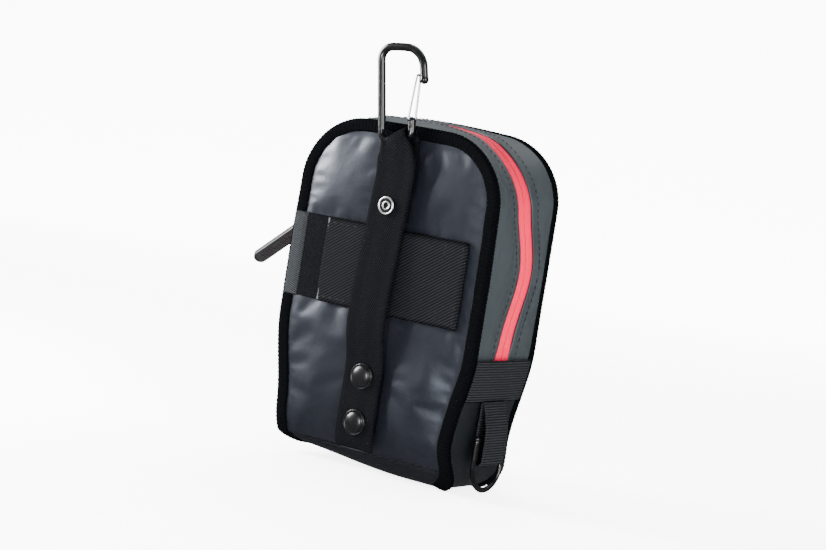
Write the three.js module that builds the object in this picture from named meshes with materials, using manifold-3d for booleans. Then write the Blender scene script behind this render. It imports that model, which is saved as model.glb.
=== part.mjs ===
// Zip-round belt pouch with a carabiner strap, a hook-and-loop belt band and a D-ring.
// Millimetres, +Z up, +X to the right and -Y towards the belt side. The origin is the
// centre of the base, on the surface that the pouch stands on.
import * as THREE from 'three';
import { mergeVertices } from 'three/addons/utils/BufferGeometryUtils.js';
import Module from 'manifold-3d';

const wasm = await Module();
wasm.setup();

// ---- Driving dimensions -------------------------------------------------------------
const WIDTH = 136; // across the gussets
const DEPTH = 66; // rear panel to front panel
const HEIGHT = 201; // top of the gusset
const TOP_R = 39; // rounded top corners, seen from the rear
const FOOT_R = 20; // rounded lower corners, seen from the rear
const KEEL_IN = 20; // rounded lower corners, seen from the side: how far in
const KEEL_UP = 30; // and how far up
const TAPER = 8; // how far each side pulls in towards the base
const TAPER_LOW = 20;
const TAPER_HIGH = 78;
const GAP = 0.3; // clearance between pieces that touch

const FABRIC = 1.0;
const FOAM = 3.0;
const LINING = 0.6;
const BINDING = 0.9;
const BINDING_REAR = 6.4; // width of the binding on the panels
const BINDING_SIDE = 4.4; // width of the binding on the gusset
const REAR_SEAM_Z = 6.5; // seam between the rear panel and the base panel
const LIFT = 5; // heights here are measured from this far above the ground

const FOLD_Z = 75; // the front half hinges here, just above the side bands
const ZIP_HALF = 8; // half the width that the zip shows
const TAPE_HALF = 14; // half the width of both tapes with their sewn edges
const TAPE = 0.7;
const COIL_HALF = 2.4;
const COIL = 1.9;

const WEB = 25; // standard webbing width
const WEB_T = 1.3;
const SIDE_BAND_LOW = 49;
const SIDE_BAND_HIGH = 73.8;

const BAND_LOW = 88; // belt band, 50 mm webbing
const BAND_HIGH = 138;
const BAND_Y = -37.1;
const BAND_RIGHT = 54.5;
const BAND_SEWN = 40;
const BAND_SPLIT = -13.9; // the free end peels from here
const BAND_LEFT = -41.5;
const TAPE_LEFT = -60.2;
const PATCH_INNER = -20;

const STRAP_Y = -41.5; // upper strap, over the belt band
const STRAP_BOW_Y = -43.8; // where it stands furthest off the panel
const STRAP_SPLIT = 88;
const STRAP_END = 8;
const SNAP_Z = [51, 24];
const SNAP_Y = -38.2; // middle of the strap at the snaps
const SNAP_R = 7.5;
const TAIL_SNAP_X = 0.5;
const EYELET_Z = 150.5;
const TAIL_Y = -37.2;
const TAIL_END = 143;

const WIRE = 2.4; // carabiner rod radius
const WIRE_PLAY = 0.4; // between the rod and the strap or the gate
const CARABINER = { x: -2, y: -38.5, z: 188.5, lean: 11, height: 53.5, spine: -10.5, nose: 18.3 };
const GATE_WIRE = 0.6;
const GATE_PIVOT = [9.9, 10.5]; // in the carabiner's own plane
const GATE_TOP = [15.0, 36];
const LOOP_HALF = 6; // the strap is bunched to this inside the carabiner
const LOOP_LEG = 6.5; // straight part of the loop below the rod

const RING_WIRE = 1.6;
const RING_HALF = 15.4;
const RING_X = 69;
const RING_Y = 0;
const RING_BAR_Z = 28;
const RING_LOW_Z = -2.4;
const RING_LOOP_LOW = 12;

const SLIDER_Z = 138;
const PULL_X = -71.2; // pivot of the pull in the slider's bridge
const PULL_DROP = 39; // degrees below the horizontal
const PULL_TWIST = 50; // the tab is turned about its own length
const LINK_WIRE = 0.7;
const LINK_LENGTH = 11;
const LINK_HALF = 3.4;
const TAB_LENGTH = 49;
const TAB_HALF = 4.25;
const TAB_T = 4;
const TAB_NECK_T = 2;

const BIG = 400;

// ---- Finishes ---------------------------------------------------------------------
function finish(color, roughness, metalness = 0) {
  return new THREE.MeshStandardMaterial({ color, roughness, metalness });
}
const COATED = finish(0x3a3d42, 0.45);
const GUSSET = finish(0x434a4b, 0.6);
const WEBBING = finish(0x1b1c1f, 0.85);
const GROSGRAIN = finish(0x101114, 0.85);
const FOAM_GREY = finish(0x3c3c3e, 0.95);
const LINING_GREY = finish(0x55585c, 0.9);
const CORAL = finish(0xe85565, 0.7);
const CORAL_COIL = finish(0xe0505f, 0.4);
const BLACK_METAL = finish(0x0f1012, 0.35, 0.8);
const STEEL = finish(0x9a9ca0, 0.3, 1);
const NICKEL = finish(0xc8c9cb, 0.25, 1);
const BLACK_SNAP = finish(0x121316, 0.3, 0.2);
const RUBBER = finish(0x26272a, 0.6);
const HOOK = finish(0x17181a, 0.95);
const PILE = finish(0x2a2c30, 0.95);

// ---- Geometry helpers ---------------------------------------------------------------
function toSolid(geometry) {
  const bare = geometry.clone();
  bare.deleteAttribute('normal');
  bare.deleteAttribute('uv');
  const merged = mergeVertices(bare, 1e-4);
  const index = merged.index.array;
  const triangles = [];
  for (let i = 0; i < index.length; i += 3) {
    const [a, b, c] = [index[i], index[i + 1], index[i + 2]];
    if (a !== b && b !== c && c !== a) {
      triangles.push(a, b, c);
    }
  }
  return new wasm.Manifold(
    new wasm.Mesh({
      numProp: 3,
      vertProperties: new Float32Array(merged.attributes.position.array),
      triVerts: new Uint32Array(triangles),
    }),
  );
}

function toGeometry(solid) {
  const mesh = solid.getMesh();
  const geometry = new THREE.BufferGeometry();
  geometry.setAttribute('position', new THREE.BufferAttribute(mesh.vertProperties, 3));
  geometry.setIndex(new THREE.BufferAttribute(mesh.triVerts, 1));
  geometry.computeVertexNormals();
  return geometry;
}

const group = new THREE.Group();

function add(name, solid, material) {
  const mesh = new THREE.Mesh(toGeometry(solid.translate([0, 0, LIFT])), material);
  mesh.name = name;
  group.add(mesh);
}

function shapeOf(points) {
  return new THREE.Shape(points.map(([a, b]) => new THREE.Vector2(a, b)));
}

function prism(shape, depth) {
  return new THREE.ExtrudeGeometry(shape, { depth, bevelEnabled: false, curveSegments: 12 });
}

// A shape drawn in X and Z, from y = low to y = high.
function alongY(shape, low, high) {
  const geometry = prism(shape, high - low);
  geometry.rotateX(Math.PI / 2);
  geometry.translate(0, high, 0);
  return toSolid(geometry);
}

// A shape drawn in Y and Z, from x = low to x = high.
function alongX(shape, low, high) {
  const geometry = prism(shape, high - low);
  const turn = new THREE.Matrix4().makeBasis(
    new THREE.Vector3(0, 1, 0),
    new THREE.Vector3(0, 0, 1),
    new THREE.Vector3(1, 0, 0),
  );
  geometry.applyMatrix4(turn);
  geometry.translate(low, 0, 0);
  return toSolid(geometry);
}

// A shape drawn in X and Y, from z = low to z = high.
function alongZ(shape, low, high) {
  const geometry = prism(shape, high - low);
  geometry.translate(0, 0, low);
  return toSolid(geometry);
}

function box(x, y, z) {
  const geometry = new THREE.BoxGeometry(x[1] - x[0], y[1] - y[0], z[1] - z[0]);
  geometry.translate((x[0] + x[1]) / 2, (y[0] + y[1]) / 2, (z[0] + z[1]) / 2);
  return toSolid(geometry);
}

const ALL = [-BIG, BIG];

function tube(points, radius, steps, sides = 8) {
  const path = new THREE.CatmullRomCurve3(points, false, 'centripetal');
  const ring = [];
  for (let i = 0; i < sides; i += 1) {
    const turn = (2 * Math.PI * i) / sides;
    ring.push([radius * Math.cos(turn), radius * Math.sin(turn)]);
  }
  return toSolid(new THREE.ExtrudeGeometry(shapeOf(ring), { steps, extrudePath: path }));
}

function rodAlongY(x, z, radius, low, high, sides = 16) {
  const geometry = new THREE.CylinderGeometry(radius, radius, high - low, sides);
  geometry.translate(x, (low + high) / 2, z);
  return toSolid(geometry);
}

// Points of an oval's arc in a plane, from one angle to another in degrees.
function oval(cx, cy, rx, ry, from, to, count) {
  const points = [];
  for (let i = 0; i <= count; i += 1) {
    const turn = THREE.MathUtils.degToRad(from + ((to - from) * i) / count);
    points.push([cx + rx * Math.cos(turn), cy + ry * Math.sin(turn)]);
  }
  return points;
}

const arc = (cx, cy, radius, from, to, count) => oval(cx, cy, radius, radius, from, to, count);

// The section of a strip of webbing that follows a smooth line through the given points.
function ribbon(points, thickness, count) {
  const line = new THREE.SplineCurve(points.map(([a, b]) => new THREE.Vector2(a, b)));
  const left = [];
  const right = [];
  for (let i = 0; i <= count; i += 1) {
    const p = line.getPoint(i / count);
    const t = line.getTangent(i / count);
    left.push([p.x - (t.y * thickness) / 2, p.y + (t.x * thickness) / 2]);
    right.unshift([p.x + (t.y * thickness) / 2, p.y - (t.x * thickness) / 2]);
  }
  return shapeOf([...left, ...right]);
}

// A turned piece whose axis is Y; each point is [radius, y].
function turned(points, sides = 20) {
  const profile = points.map(([r, y]) => new THREE.Vector2(r, y));
  return toSolid(new THREE.LatheGeometry(profile, sides));
}

// ---- The pouch's outer form -----------------------------------------------------------
function sideAt(z) {
  const full = THREE.MathUtils.smoothstep(z, TAPER_LOW, TAPER_HIGH);
  return WIDTH / 2 - TAPER * (1 - full);
}

// The form seen from the rear, open downwards, pulled in by the inset.
function outline(inset) {
  const foot = sideAt(0) - FOOT_R;
  const right = [[foot, -BIG]];
  right.push(...arc(foot, FOOT_R - LIFT, FOOT_R - inset, -90, 0, 6));
  for (let z = TAPER_LOW + 10; z < TAPER_HIGH; z += 10) {
    right.push([sideAt(z) - inset, z]);
  }
  right.push([WIDTH / 2 - inset, TAPER_HIGH]);
  right.push(...arc(WIDTH / 2 - TOP_R, HEIGHT - TOP_R, TOP_R - inset, 0, 90, 10));
  const left = right.map(([x, z]) => [-x, z]).reverse();
  return alongY(shapeOf([...right, ...left]), -BIG, BIG);
}

// The form seen from the side, open upwards, pulled in by the inset.
function profile(inset) {
  const half = DEPTH / 2;
  const right = oval(half - KEEL_IN, KEEL_UP - LIFT, KEEL_IN - inset, KEEL_UP - inset, -90, 0, 8);
  right.push([half - inset, BIG]);
  const left = right.map(([y, z]) => [-y, z]).reverse();
  return alongX(shapeOf([...right, ...left]), -BIG, BIG);
}

function form(inset) {
  return outline(inset).intersect(profile(inset));
}

const above = (z) => box(ALL, ALL, [z, BIG]);
const below = (z) => box(ALL, ALL, [-BIG, z]);
const behind = (y) => box(ALL, [-BIG, y], ALL);
const ahead = (y) => box(ALL, [y, BIG], ALL);
const EDGE = GAP / 2;
const FLAP_LOW = above(FOLD_Z + EDGE);
const BODY_HIGH = below(FOLD_Z - EDGE);

function makeWrap() {
  const shell = profile(0).subtract(profile(FABRIC)).intersect(outline(FABRIC + GAP));
  const upper = shell.intersect(above(REAR_SEAM_Z + EDGE));
  add('rear_panel', upper.intersect(behind(0)), COATED);
  add('base_panel', shell.intersect(below(REAR_SEAM_Z - EDGE)), COATED);
  add('front_panel_lower', upper.intersect(ahead(0)).intersect(BODY_HIGH), COATED);
  add('front_panel_upper', upper.intersect(ahead(0)).intersect(FLAP_LOW), COATED);
}

function makeGusset() {
  const strip = outline(0).subtract(outline(FABRIC)).intersect(profile(FABRIC + GAP));
  const lower = strip.intersect(BODY_HIGH);
  add('gusset_lower_right', lower.intersect(box([0, BIG], ALL, ALL)), GUSSET);
  add('gusset_lower_left', lower.intersect(box([-BIG, 0], ALL, ALL)), GUSSET);
  add('rear_zip_gusset', strip.intersect(FLAP_LOW).intersect(behind(-ZIP_HALF)), GUSSET);
  add('front_zip_gusset', strip.intersect(FLAP_LOW).intersect(ahead(ZIP_HALF)), GUSSET);
}

function makeBinding() {
  const strip = form(-GAP - BINDING)
    .subtract(form(-GAP))
    .subtract(outline(BINDING_REAR))
    .subtract(profile(BINDING_SIDE))
    .intersect(above(0.5 - LIFT));
  const front = strip.intersect(ahead(EDGE));
  const low = front.intersect(BODY_HIGH);
  add('rear_binding', strip.intersect(behind(-EDGE)), GROSGRAIN);
  add('front_binding_upper', front.intersect(FLAP_LOW), GROSGRAIN);
  add('base_binding_right', low.intersect(box([0, BIG], ALL, ALL)), GROSGRAIN);
  add('base_binding_left', low.intersect(box([-BIG, 0], ALL, ALL)), GROSGRAIN);
}

function makePadding() {
  const start = FABRIC + GAP;
  const pad = profile(start).subtract(profile(start + FOAM)).intersect(outline(start + GAP));
  const upper = pad.intersect(above(REAR_SEAM_Z + EDGE));
  add('rear_foam', upper.intersect(behind(0)), FOAM_GREY);
  add('base_foam', pad.intersect(below(REAR_SEAM_Z - EDGE)), FOAM_GREY);
  add('front_foam_lower', upper.intersect(ahead(0)).intersect(BODY_HIGH), FOAM_GREY);
  add('front_foam_upper', upper.intersect(ahead(0)).intersect(FLAP_LOW), FOAM_GREY);
}

function makeLining() {
  const inset = FABRIC + FOAM + 2 * GAP;
  const bag = form(inset).subtract(form(inset + LINING));
  const rear = bag.intersect(behind(-ZIP_HALF)).add(bag.intersect(BODY_HIGH));
  add('rear_lining', rear, LINING_GREY);
  add('front_lining', bag.intersect(ahead(ZIP_HALF)).intersect(FLAP_LOW), LINING_GREY);
}

function makeZip() {
  const top = FABRIC + GAP;
  const tape = outline(top).subtract(outline(top + TAPE)).intersect(FLAP_LOW);
  const coilTop = top + TAPE + GAP;
  const coil = outline(coilTop).subtract(outline(coilTop + COIL)).intersect(FLAP_LOW);
  add('zip_tape_rear', tape.intersect(box(ALL, [-TAPE_HALF, -EDGE], ALL)), CORAL);
  add('zip_tape_front', tape.intersect(box(ALL, [EDGE, TAPE_HALF], ALL)), CORAL);
  add('zip_coil_rear', coil.intersect(box(ALL, [-COIL_HALF, -EDGE], ALL)), CORAL_COIL);
  add('zip_coil_front', coil.intersect(box(ALL, [EDGE, COIL_HALF], ALL)), CORAL_COIL);
}

// The slider's outer plate rides on the tapes, with a bridge that holds the pull.
function makeSlider() {
  const inner = -(WIDTH / 2 - FABRIC);
  const plate = [
    [-4.6, -7],
    [4.6, -7],
    [5.6, 0],
    [4.2, 6.5],
    [0, 7.5],
    [-4.2, 6.5],
    [-5.6, 0],
  ].map(([y, z]) => [y, z + SLIDER_Z]);
  const body = alongX(shapeOf(plate), inner - 2.0, inner);
  const arch = alongY(shapeOf(arc(inner - 2.0, SLIDER_Z, 5.2, 90, 270, 12)), -1.6, 1.6);
  const eye = rodAlongY(PULL_X, SLIDER_Z, 1.1, -BIG, BIG);
  add('zip_slider', body.add(arch).subtract(eye), BLACK_METAL);
}

// The pull hangs from the slider along its own direction, dropped below the horizontal.
function makePull() {
  const drop = THREE.MathUtils.degToRad(PULL_DROP);
  const along = new THREE.Vector3(-Math.cos(drop), 0, -Math.sin(drop));
  const pivot = new THREE.Vector3(PULL_X, 0, SLIDER_Z);
  const at = (s, y) => pivot.clone().addScaledVector(along, s).setY(y);
  const turn = 1.2;
  const bend = [];
  for (const [s, y] of [
    ...arc(LINK_LENGTH - turn, LINK_HALF - turn, turn, 90, 0, 3),
    ...arc(LINK_LENGTH - turn, turn - LINK_HALF, turn, 0, -90, 3),
    ...arc(turn, turn - LINK_HALF, turn, -90, -180, 3),
  ]) {
    bend.push(at(s, y));
  }
  bend.unshift(at(0, LINK_HALF - 0.1));
  bend.push(at(0, 0));
  const link = tube(bend, LINK_WIRE, 36).add(
    tube([at(0, -1), at(0, LINK_HALF)], LINK_WIRE, 4),
  );
  add('zip_pull_link', link, BLACK_METAL);

  const up = new THREE.Vector3(-Math.sin(drop), 0, Math.cos(drop));
  const twist = THREE.MathUtils.degToRad(PULL_TWIST);
  const wide = up.multiplyScalar(Math.cos(twist)).add(new THREE.Vector3(0, -Math.sin(twist), 0));
  const thick = along.clone().cross(wide);
  const frame = new THREE.Matrix4().makeBasis(along, wide, thick);
  frame.setPosition(at(LINK_LENGTH, 0));
  const tip = TAB_LENGTH - TAB_HALF;
  const bladeLine = [[6, -TAB_HALF], ...arc(tip, 0, TAB_HALF, -90, 90, 8), [6, TAB_HALF]];
  const neckLine = [...arc(0, 0, 3.9, 100, 260, 8), [8, -3.4], [8, 3.4]];
  const blade = prism(shapeOf(bladeLine), TAB_T);
  blade.translate(0, 0, -TAB_T / 2);
  const neck = prism(shapeOf(neckLine), TAB_NECK_T);
  neck.translate(0, 0, -TAB_NECK_T / 2);
  const hole = prism(shapeOf(arc(0, 0, 2.3, 0, 337.5, 15)), TAB_T);
  hole.translate(0, 0, -TAB_T / 2);
  const [bladeSolid, neckSolid, holeSolid] = [blade, neck, hole].map((geometry) => {
    geometry.applyMatrix4(frame);
    return toSolid(geometry);
  });
  add('zip_pull_tab', bladeSolid.add(neckSolid).subtract(holeSolid), RUBBER);
}

function makeSideBands() {
  const strip = outline(-GAP - WEB_T)
    .subtract(outline(-GAP))
    .intersect(box(ALL, [GAP + BINDING_SIDE - DEPTH / 2, DEPTH / 2 - BINDING_SIDE - GAP], ALL))
    .intersect(box(ALL, ALL, [SIDE_BAND_LOW, SIDE_BAND_HIGH]));
  add('side_band_right', strip.intersect(box([0, BIG], ALL, ALL)), WEBBING);
  add('side_band_left', strip.intersect(box([-BIG, 0], ALL, ALL)), WEBBING);
}

// A doubled length of webbing that hangs from the right side band and holds the D-ring.
function makeRingLoop() {
  const half = 3.7;
  const top = SIDE_BAND_LOW - GAP;
  const outer = [
    [RING_X - 3.6, top],
    ...arc(RING_X, RING_LOOP_LOW + half, half, 180, 360, 8),
    [RING_X + half, RING_BAR_Z + 3],
    [RING_X - 0.9, top],
  ];
  const inner = [
    [RING_X - half + WEB_T, RING_BAR_Z + 4],
    ...arc(RING_X, RING_LOOP_LOW + half, half - WEB_T, 180, 360, 8),
    [RING_X + half - WEB_T, RING_BAR_Z + 3],
    [RING_X - 1.6, top - 7],
  ];
  const low = RING_Y - WEB / 2;
  const high = RING_Y + WEB / 2;
  const loop = alongY(shapeOf(outer), low, high).subtract(alongY(shapeOf(inner), -BIG, BIG));
  add('ring_loop', loop, WEBBING);
}

function makeRing() {
  const arm = RING_LOW_Z + RING_HALF;
  const at = ([y, z]) => new THREE.Vector3(RING_X, RING_Y + y, z);
  const bend = [
    [-RING_HALF, RING_BAR_Z],
    [-RING_HALF, (RING_BAR_Z + arm) / 2],
    ...arc(0, arm, RING_HALF, 180, 360, 16),
    [RING_HALF, (RING_BAR_Z + arm) / 2],
    [RING_HALF, RING_BAR_Z],
  ].map(at);
  const bar = rodAlongY(RING_X, RING_BAR_Z, RING_WIRE, RING_Y - 17, RING_Y + 17, 10);
  add('d_ring', tube(bend, RING_WIRE, 36, 10).add(bar), BLACK_METAL);
}

function makeBeltBand() {
  const line = [
    [BAND_RIGHT, -34.3],
    [BAND_SEWN, -34.5],
    [28, -36.3],
    [14, BAND_Y],
    [BAND_SPLIT + GAP, BAND_Y],
  ];
  add('belt_band', alongZ(ribbon(line, WEB_T, 16), BAND_LOW, BAND_HIGH), WEBBING);
  const face = [BAND_Y - WEB_T / 2, BAND_Y + WEB_T / 2];
  const end = box([BAND_LEFT, BAND_SPLIT], face, [BAND_LOW, BAND_HIGH]);
  add('belt_band_end', end, WEBBING);
  const inset = 1.5;
  const patchZ = [BAND_LOW + inset, BAND_HIGH - inset];
  const hookBack = face[1] + GAP;
  add('hook_tape', box([BAND_LEFT + inset, PATCH_INNER], [hookBack, hookBack + 1.2], patchZ), HOOK);
  const pile = [-DEPTH / 2 - GAP - 1.2, -DEPTH / 2 - GAP];
  add('loop_tape', box([TAPE_LEFT, PATCH_INNER], pile, [BAND_LOW, BAND_HIGH]), PILE);
}

function makeStrap() {
  const { x, y, z, lean } = CARABINER;
  const half = WEB / 2;
  const upperLine = [
    [STRAP_Y, z + 1 - LOOP_LEG],
    [STRAP_Y, 150],
    [STRAP_Y, 125],
    [(STRAP_Y + STRAP_BOW_Y) / 2, 106],
    [STRAP_BOW_Y, STRAP_SPLIT + GAP],
  ];
  const inner = WIRE + WIRE_PLAY;
  const outer = inner + WEB_T;
  const wrap = shapeOf([
    [y - outer, -LOOP_LEG],
    [y - outer, 0],
    ...arc(y, 0, outer, 165, 15, 8),
    [y + outer, 0],
    [y + outer, -LOOP_LEG],
    [y + inner, -LOOP_LEG],
    [y + inner, 0],
    ...arc(y, 0, inner, 15, 165, 8),
    [y - inner, 0],
    [y - inner, -LOOP_LEG],
  ]);
  const turn = alongX(wrap, -LOOP_HALF, LOOP_HALF).rotate([0, -lean, 0]).translate([x, 0, z]);
  const upper = alongX(ribbon(upperLine, WEB_T, 20), -half, half);
  add('strap_upper', upper.add(turn), WEBBING);
  const tailLine = [
    [y + inner + WEB_T / 2, z - 8.6],
    [TAIL_Y, z - 20],
    [TAIL_Y, TAIL_END],
  ];
  add('strap_tail', alongX(ribbon(tailLine, WEB_T, 8), -half, half), WEBBING);
  const lowerLine = [
    [STRAP_BOW_Y, STRAP_SPLIT],
    [STRAP_BOW_Y + 0.4, 77],
    [(STRAP_BOW_Y + SNAP_Y) / 2, 68],
    [SNAP_Y, SNAP_Z[0] + SNAP_R + 2],
    [SNAP_Y, SNAP_Z[0]],
    [SNAP_Y, (SNAP_Z[0] + SNAP_Z[1]) / 2],
    [SNAP_Y, SNAP_Z[1]],
    [SNAP_Y, SNAP_Z[1] - SNAP_R - 1],
    [SNAP_Y + 2.2, STRAP_END],
  ];
  add('strap_lower', alongX(ribbon(lowerLine, WEB_T, 24), -half, half), WEBBING);
}

// A domed cap outside the strap, a socket inside it and a stud on the panel.
function makeSnap(name, z) {
  const face = SNAP_Y - WEB_T / 2 - GAP;
  const back = SNAP_Y + WEB_T / 2 + GAP;
  const panel = -DEPTH / 2 - GAP;
  const cap = turned([
    [0, face - 3.2],
    [3, face - 3.0],
    [5.6, face - 2.3],
    [SNAP_R - 0.3, face - 1.2],
    [SNAP_R, face - 0.4],
    [SNAP_R - 0.4, face],
    [0, face],
  ]);
  const socket = turned([
    [2.9, back],
    [6, back],
    [6, back + 1.0],
    [4.4, back + 1.9],
    [2.9, back + 1.9],
    [2.9, back],
  ]);
  const stud = turned([
    [0, panel - 3.2],
    [1.8, panel - 3.0],
    [2.3, panel - 2.2],
    [1.9, panel - 1.2],
    [5.5, panel - 0.7],
    [5.5, panel],
    [0, panel],
  ]);
  add(`${name}_cap`, cap.translate([0, 0, z]), BLACK_SNAP);
  add(`${name}_socket`, socket.translate([0, 0, z]), BLACK_METAL);
  add(`${name}_stud`, stud.translate([0, 0, z]), BLACK_METAL);
}

// The snap that closes the strap's tail: a nickel eyelet outside, its two halves between.
function makeTailSnap() {
  const face = STRAP_Y - WEB_T / 2 - GAP;
  const back = STRAP_Y + WEB_T / 2 + GAP;
  const tail = TAIL_Y - WEB_T / 2 - GAP;
  const eyelet = turned([
    [1.5, face],
    [1.5, face - 0.8],
    [2.4, face - 1.1],
    [3.1, face - 0.6],
    [4.1, face - 0.6],
    [4.7, face - 1.0],
    [5.3, face - 0.5],
    [5.3, face],
    [1.5, face],
  ]);
  const socket = turned([
    [2.2, back],
    [4.8, back],
    [4.8, back + 0.8],
    [2.2, back + 0.8],
    [2.2, back],
  ]);
  const stud = turned([
    [0, tail - 1.4],
    [1.6, tail - 1.4],
    [1.6, tail - 0.5],
    [4.8, tail - 0.4],
    [4.8, tail],
    [0, tail],
  ]);
  add('tail_snap_eyelet', eyelet.translate([TAIL_SNAP_X, 0, EYELET_Z]), NICKEL);
  add('tail_snap_socket', socket.translate([TAIL_SNAP_X, 0, EYELET_Z]), NICKEL);
  add('tail_snap_stud', stud.translate([TAIL_SNAP_X, 0, EYELET_Z]), NICKEL);
}

// Points in the carabiner's own plane: across and up from the middle of its lower bar.
function carabinerPoint([across, up], y = 0) {
  const lean = THREE.MathUtils.degToRad(CARABINER.lean);
  return new THREE.Vector3(
    CARABINER.x + across * Math.cos(lean) - up * Math.sin(lean),
    CARABINER.y + y,
    CARABINER.z + across * Math.sin(lean) + up * Math.cos(lean),
  );
}

function makeCarabiner() {
  const { height, spine, nose } = CARABINER;
  const [pivotAcross, pivotUp] = GATE_PIVOT;
  const line = [
    [pivotAcross + 0.4, pivotUp + 2],
    ...arc(pivotAcross - 5, 5, 5, 0, -90, 5),
    ...arc(spine + 5, 5, 5, -90, -180, 5),
    [spine, height / 2],
    ...arc(spine + 7, height - 7, 7, 180, 90, 5),
    ...arc(nose - 13, height - 14, 13, 80, 0, 6),
    [nose + 0.2, 33],
    [nose, 30.5],
  ];
  const rod = tube(line.map((p) => carabinerPoint(p)), WIRE, 64, 10);
  const pin = carabinerPoint(GATE_PIVOT);
  const bore = rodAlongY(pin.x, pin.z, GATE_WIRE + GAP, -BIG, BIG);
  add('carabiner_body', rod.subtract(bore), BLACK_METAL);
}

// A bent wire gate: two legs beside the rod, joined behind the nose, turning in one bore.
function makeGate() {
  const side = WIRE + WIRE_PLAY + GATE_WIRE;
  const [a, b] = [GATE_PIVOT, GATE_TOP];
  const mix = (t) => [a[0] + (b[0] - a[0]) * t, a[1] + (b[1] - a[1]) * t];
  const line = [
    carabinerPoint(a, 0.5),
    carabinerPoint(a, side - 0.9),
    carabinerPoint(mix(0.04), side),
    carabinerPoint(mix(0.5), side),
    carabinerPoint(mix(0.93), side),
    carabinerPoint(b, side - 1.4),
    carabinerPoint(b, 0),
    carabinerPoint(b, 1.4 - side),
    carabinerPoint(mix(0.93), -side),
    carabinerPoint(mix(0.5), -side),
    carabinerPoint(mix(0.04), -side),
    carabinerPoint(a, 0.9 - side),
    carabinerPoint(a, -0.5),
  ];
  add('carabiner_gate', tube(line, GATE_WIRE, 64, 8), STEEL);
}

makeWrap();
makeGusset();
makeBinding();
makePadding();
makeLining();
makeZip();
makeSlider();
makePull();
makeSideBands();
makeRingLoop();
makeRing();
makeBeltBand();
makeStrap();
makeSnap('upper_snap', SNAP_Z[0]);
makeSnap('lower_snap', SNAP_Z[1]);
makeTailSnap();
makeCarabiner();
makeGate();

export default group;
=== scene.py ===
"""Looks of the zip-round belt pouch.

Lengths are in millimetres until a mesh is made, and heights are measured from LIFT above
the ground: the seams and straps keep their own datum, and the keel hangs below it.
"""

import math

import bmesh
import bpy
import numpy as np
from mathutils import Matrix, Vector, noise


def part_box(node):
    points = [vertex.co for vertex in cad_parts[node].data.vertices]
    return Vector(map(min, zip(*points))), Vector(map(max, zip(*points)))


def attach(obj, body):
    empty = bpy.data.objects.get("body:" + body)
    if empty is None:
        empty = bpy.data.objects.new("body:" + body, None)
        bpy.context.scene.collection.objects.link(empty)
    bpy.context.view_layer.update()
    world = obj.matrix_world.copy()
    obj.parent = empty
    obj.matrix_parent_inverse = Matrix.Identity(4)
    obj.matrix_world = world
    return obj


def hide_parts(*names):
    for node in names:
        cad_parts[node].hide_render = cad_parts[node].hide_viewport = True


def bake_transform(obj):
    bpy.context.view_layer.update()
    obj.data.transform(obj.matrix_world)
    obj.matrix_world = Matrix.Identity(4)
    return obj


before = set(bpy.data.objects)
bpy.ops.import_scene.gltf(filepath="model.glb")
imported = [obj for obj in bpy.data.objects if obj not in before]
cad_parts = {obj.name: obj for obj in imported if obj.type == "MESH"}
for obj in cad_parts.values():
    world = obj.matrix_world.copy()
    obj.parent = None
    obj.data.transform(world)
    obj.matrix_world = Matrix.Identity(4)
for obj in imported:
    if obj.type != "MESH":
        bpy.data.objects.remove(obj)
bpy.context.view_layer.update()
MM = 0.001
LIFT = np.array([0.0, 0.0, 5.0])


def span(node):
    """Lowest and highest corner of a CAD node, in millimetres."""
    low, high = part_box(node)
    return np.array(low) / MM - LIFT, np.array(high) / MM - LIFT


# ---- Places and sizes, from the frame ---------------------------------------------------
HALF_W = span("rear_zip_gusset")[1][0]
TOP = span("rear_zip_gusset")[1][2]
HALF_D = -span("rear_panel")[0][1]
SEAM_Z = span("rear_panel")[0][2]
FOLD_Z = span("front_panel_upper")[0][2]
TOP_R = 39.0
FOOT_R = 15.0
KEEL_IN = 20.0  # the rounded lower corners seen from the side: how far in
KEEL_UP = 30.0  # and how far up
KEEL_Z = -LIFT[2]
TAPER = 8.0
TAPER_LOW, TAPER_HIGH = 20.0, 78.0
SIDE_Z = (span("side_band_right")[0][2], span("side_band_right")[1][2])
BAND_Z = (span("belt_band")[0][2], span("belt_band")[1][2])
BAND_RIGHT = span("belt_band")[1][0]
BAND_LEFT = span("belt_band_end")[0][0]
SPLIT_X = span("belt_band_end")[1][0]
WEB = 25.0
WEB_T = 1.3
RING_LOW, RING_HIGH = span("d_ring")
LOOP_LOW = span("ring_loop")[0]


def middle(node):
    low, high = span(node)
    return (low + high) / 2


# ---- Camera: the photograph's viewing angle -----------------------------------------------
AZIMUTH = math.radians(32.82)


def add_camera():
    elevation, roll = math.radians(4.48), math.radians(9.11)
    target = Vector((-1.63, 0, 115.8)) * MM
    back = Vector(
        (
            math.sin(AZIMUTH) * math.cos(elevation),
            -math.cos(AZIMUTH) * math.cos(elevation),
            math.sin(elevation),
        )
    )
    right = (-back).cross(Vector((0, 0, 1))).normalized()
    up = back.cross(right)
    across = right * math.cos(roll) + up * math.sin(roll)
    upward = up * math.cos(roll) - right * math.sin(roll)
    data = bpy.data.cameras.new("camera")
    data.sensor_width = 36
    data.lens = 91.94
    data.clip_end = 20
    camera = bpy.data.objects.new("camera", data)
    turn = Matrix((across, upward, back)).transposed().to_4x4()
    camera.matrix_world = Matrix.Translation(target + back * 1.2433) @ turn
    bpy.context.scene.collection.objects.link(camera)
    bpy.context.scene.camera = camera


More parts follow.
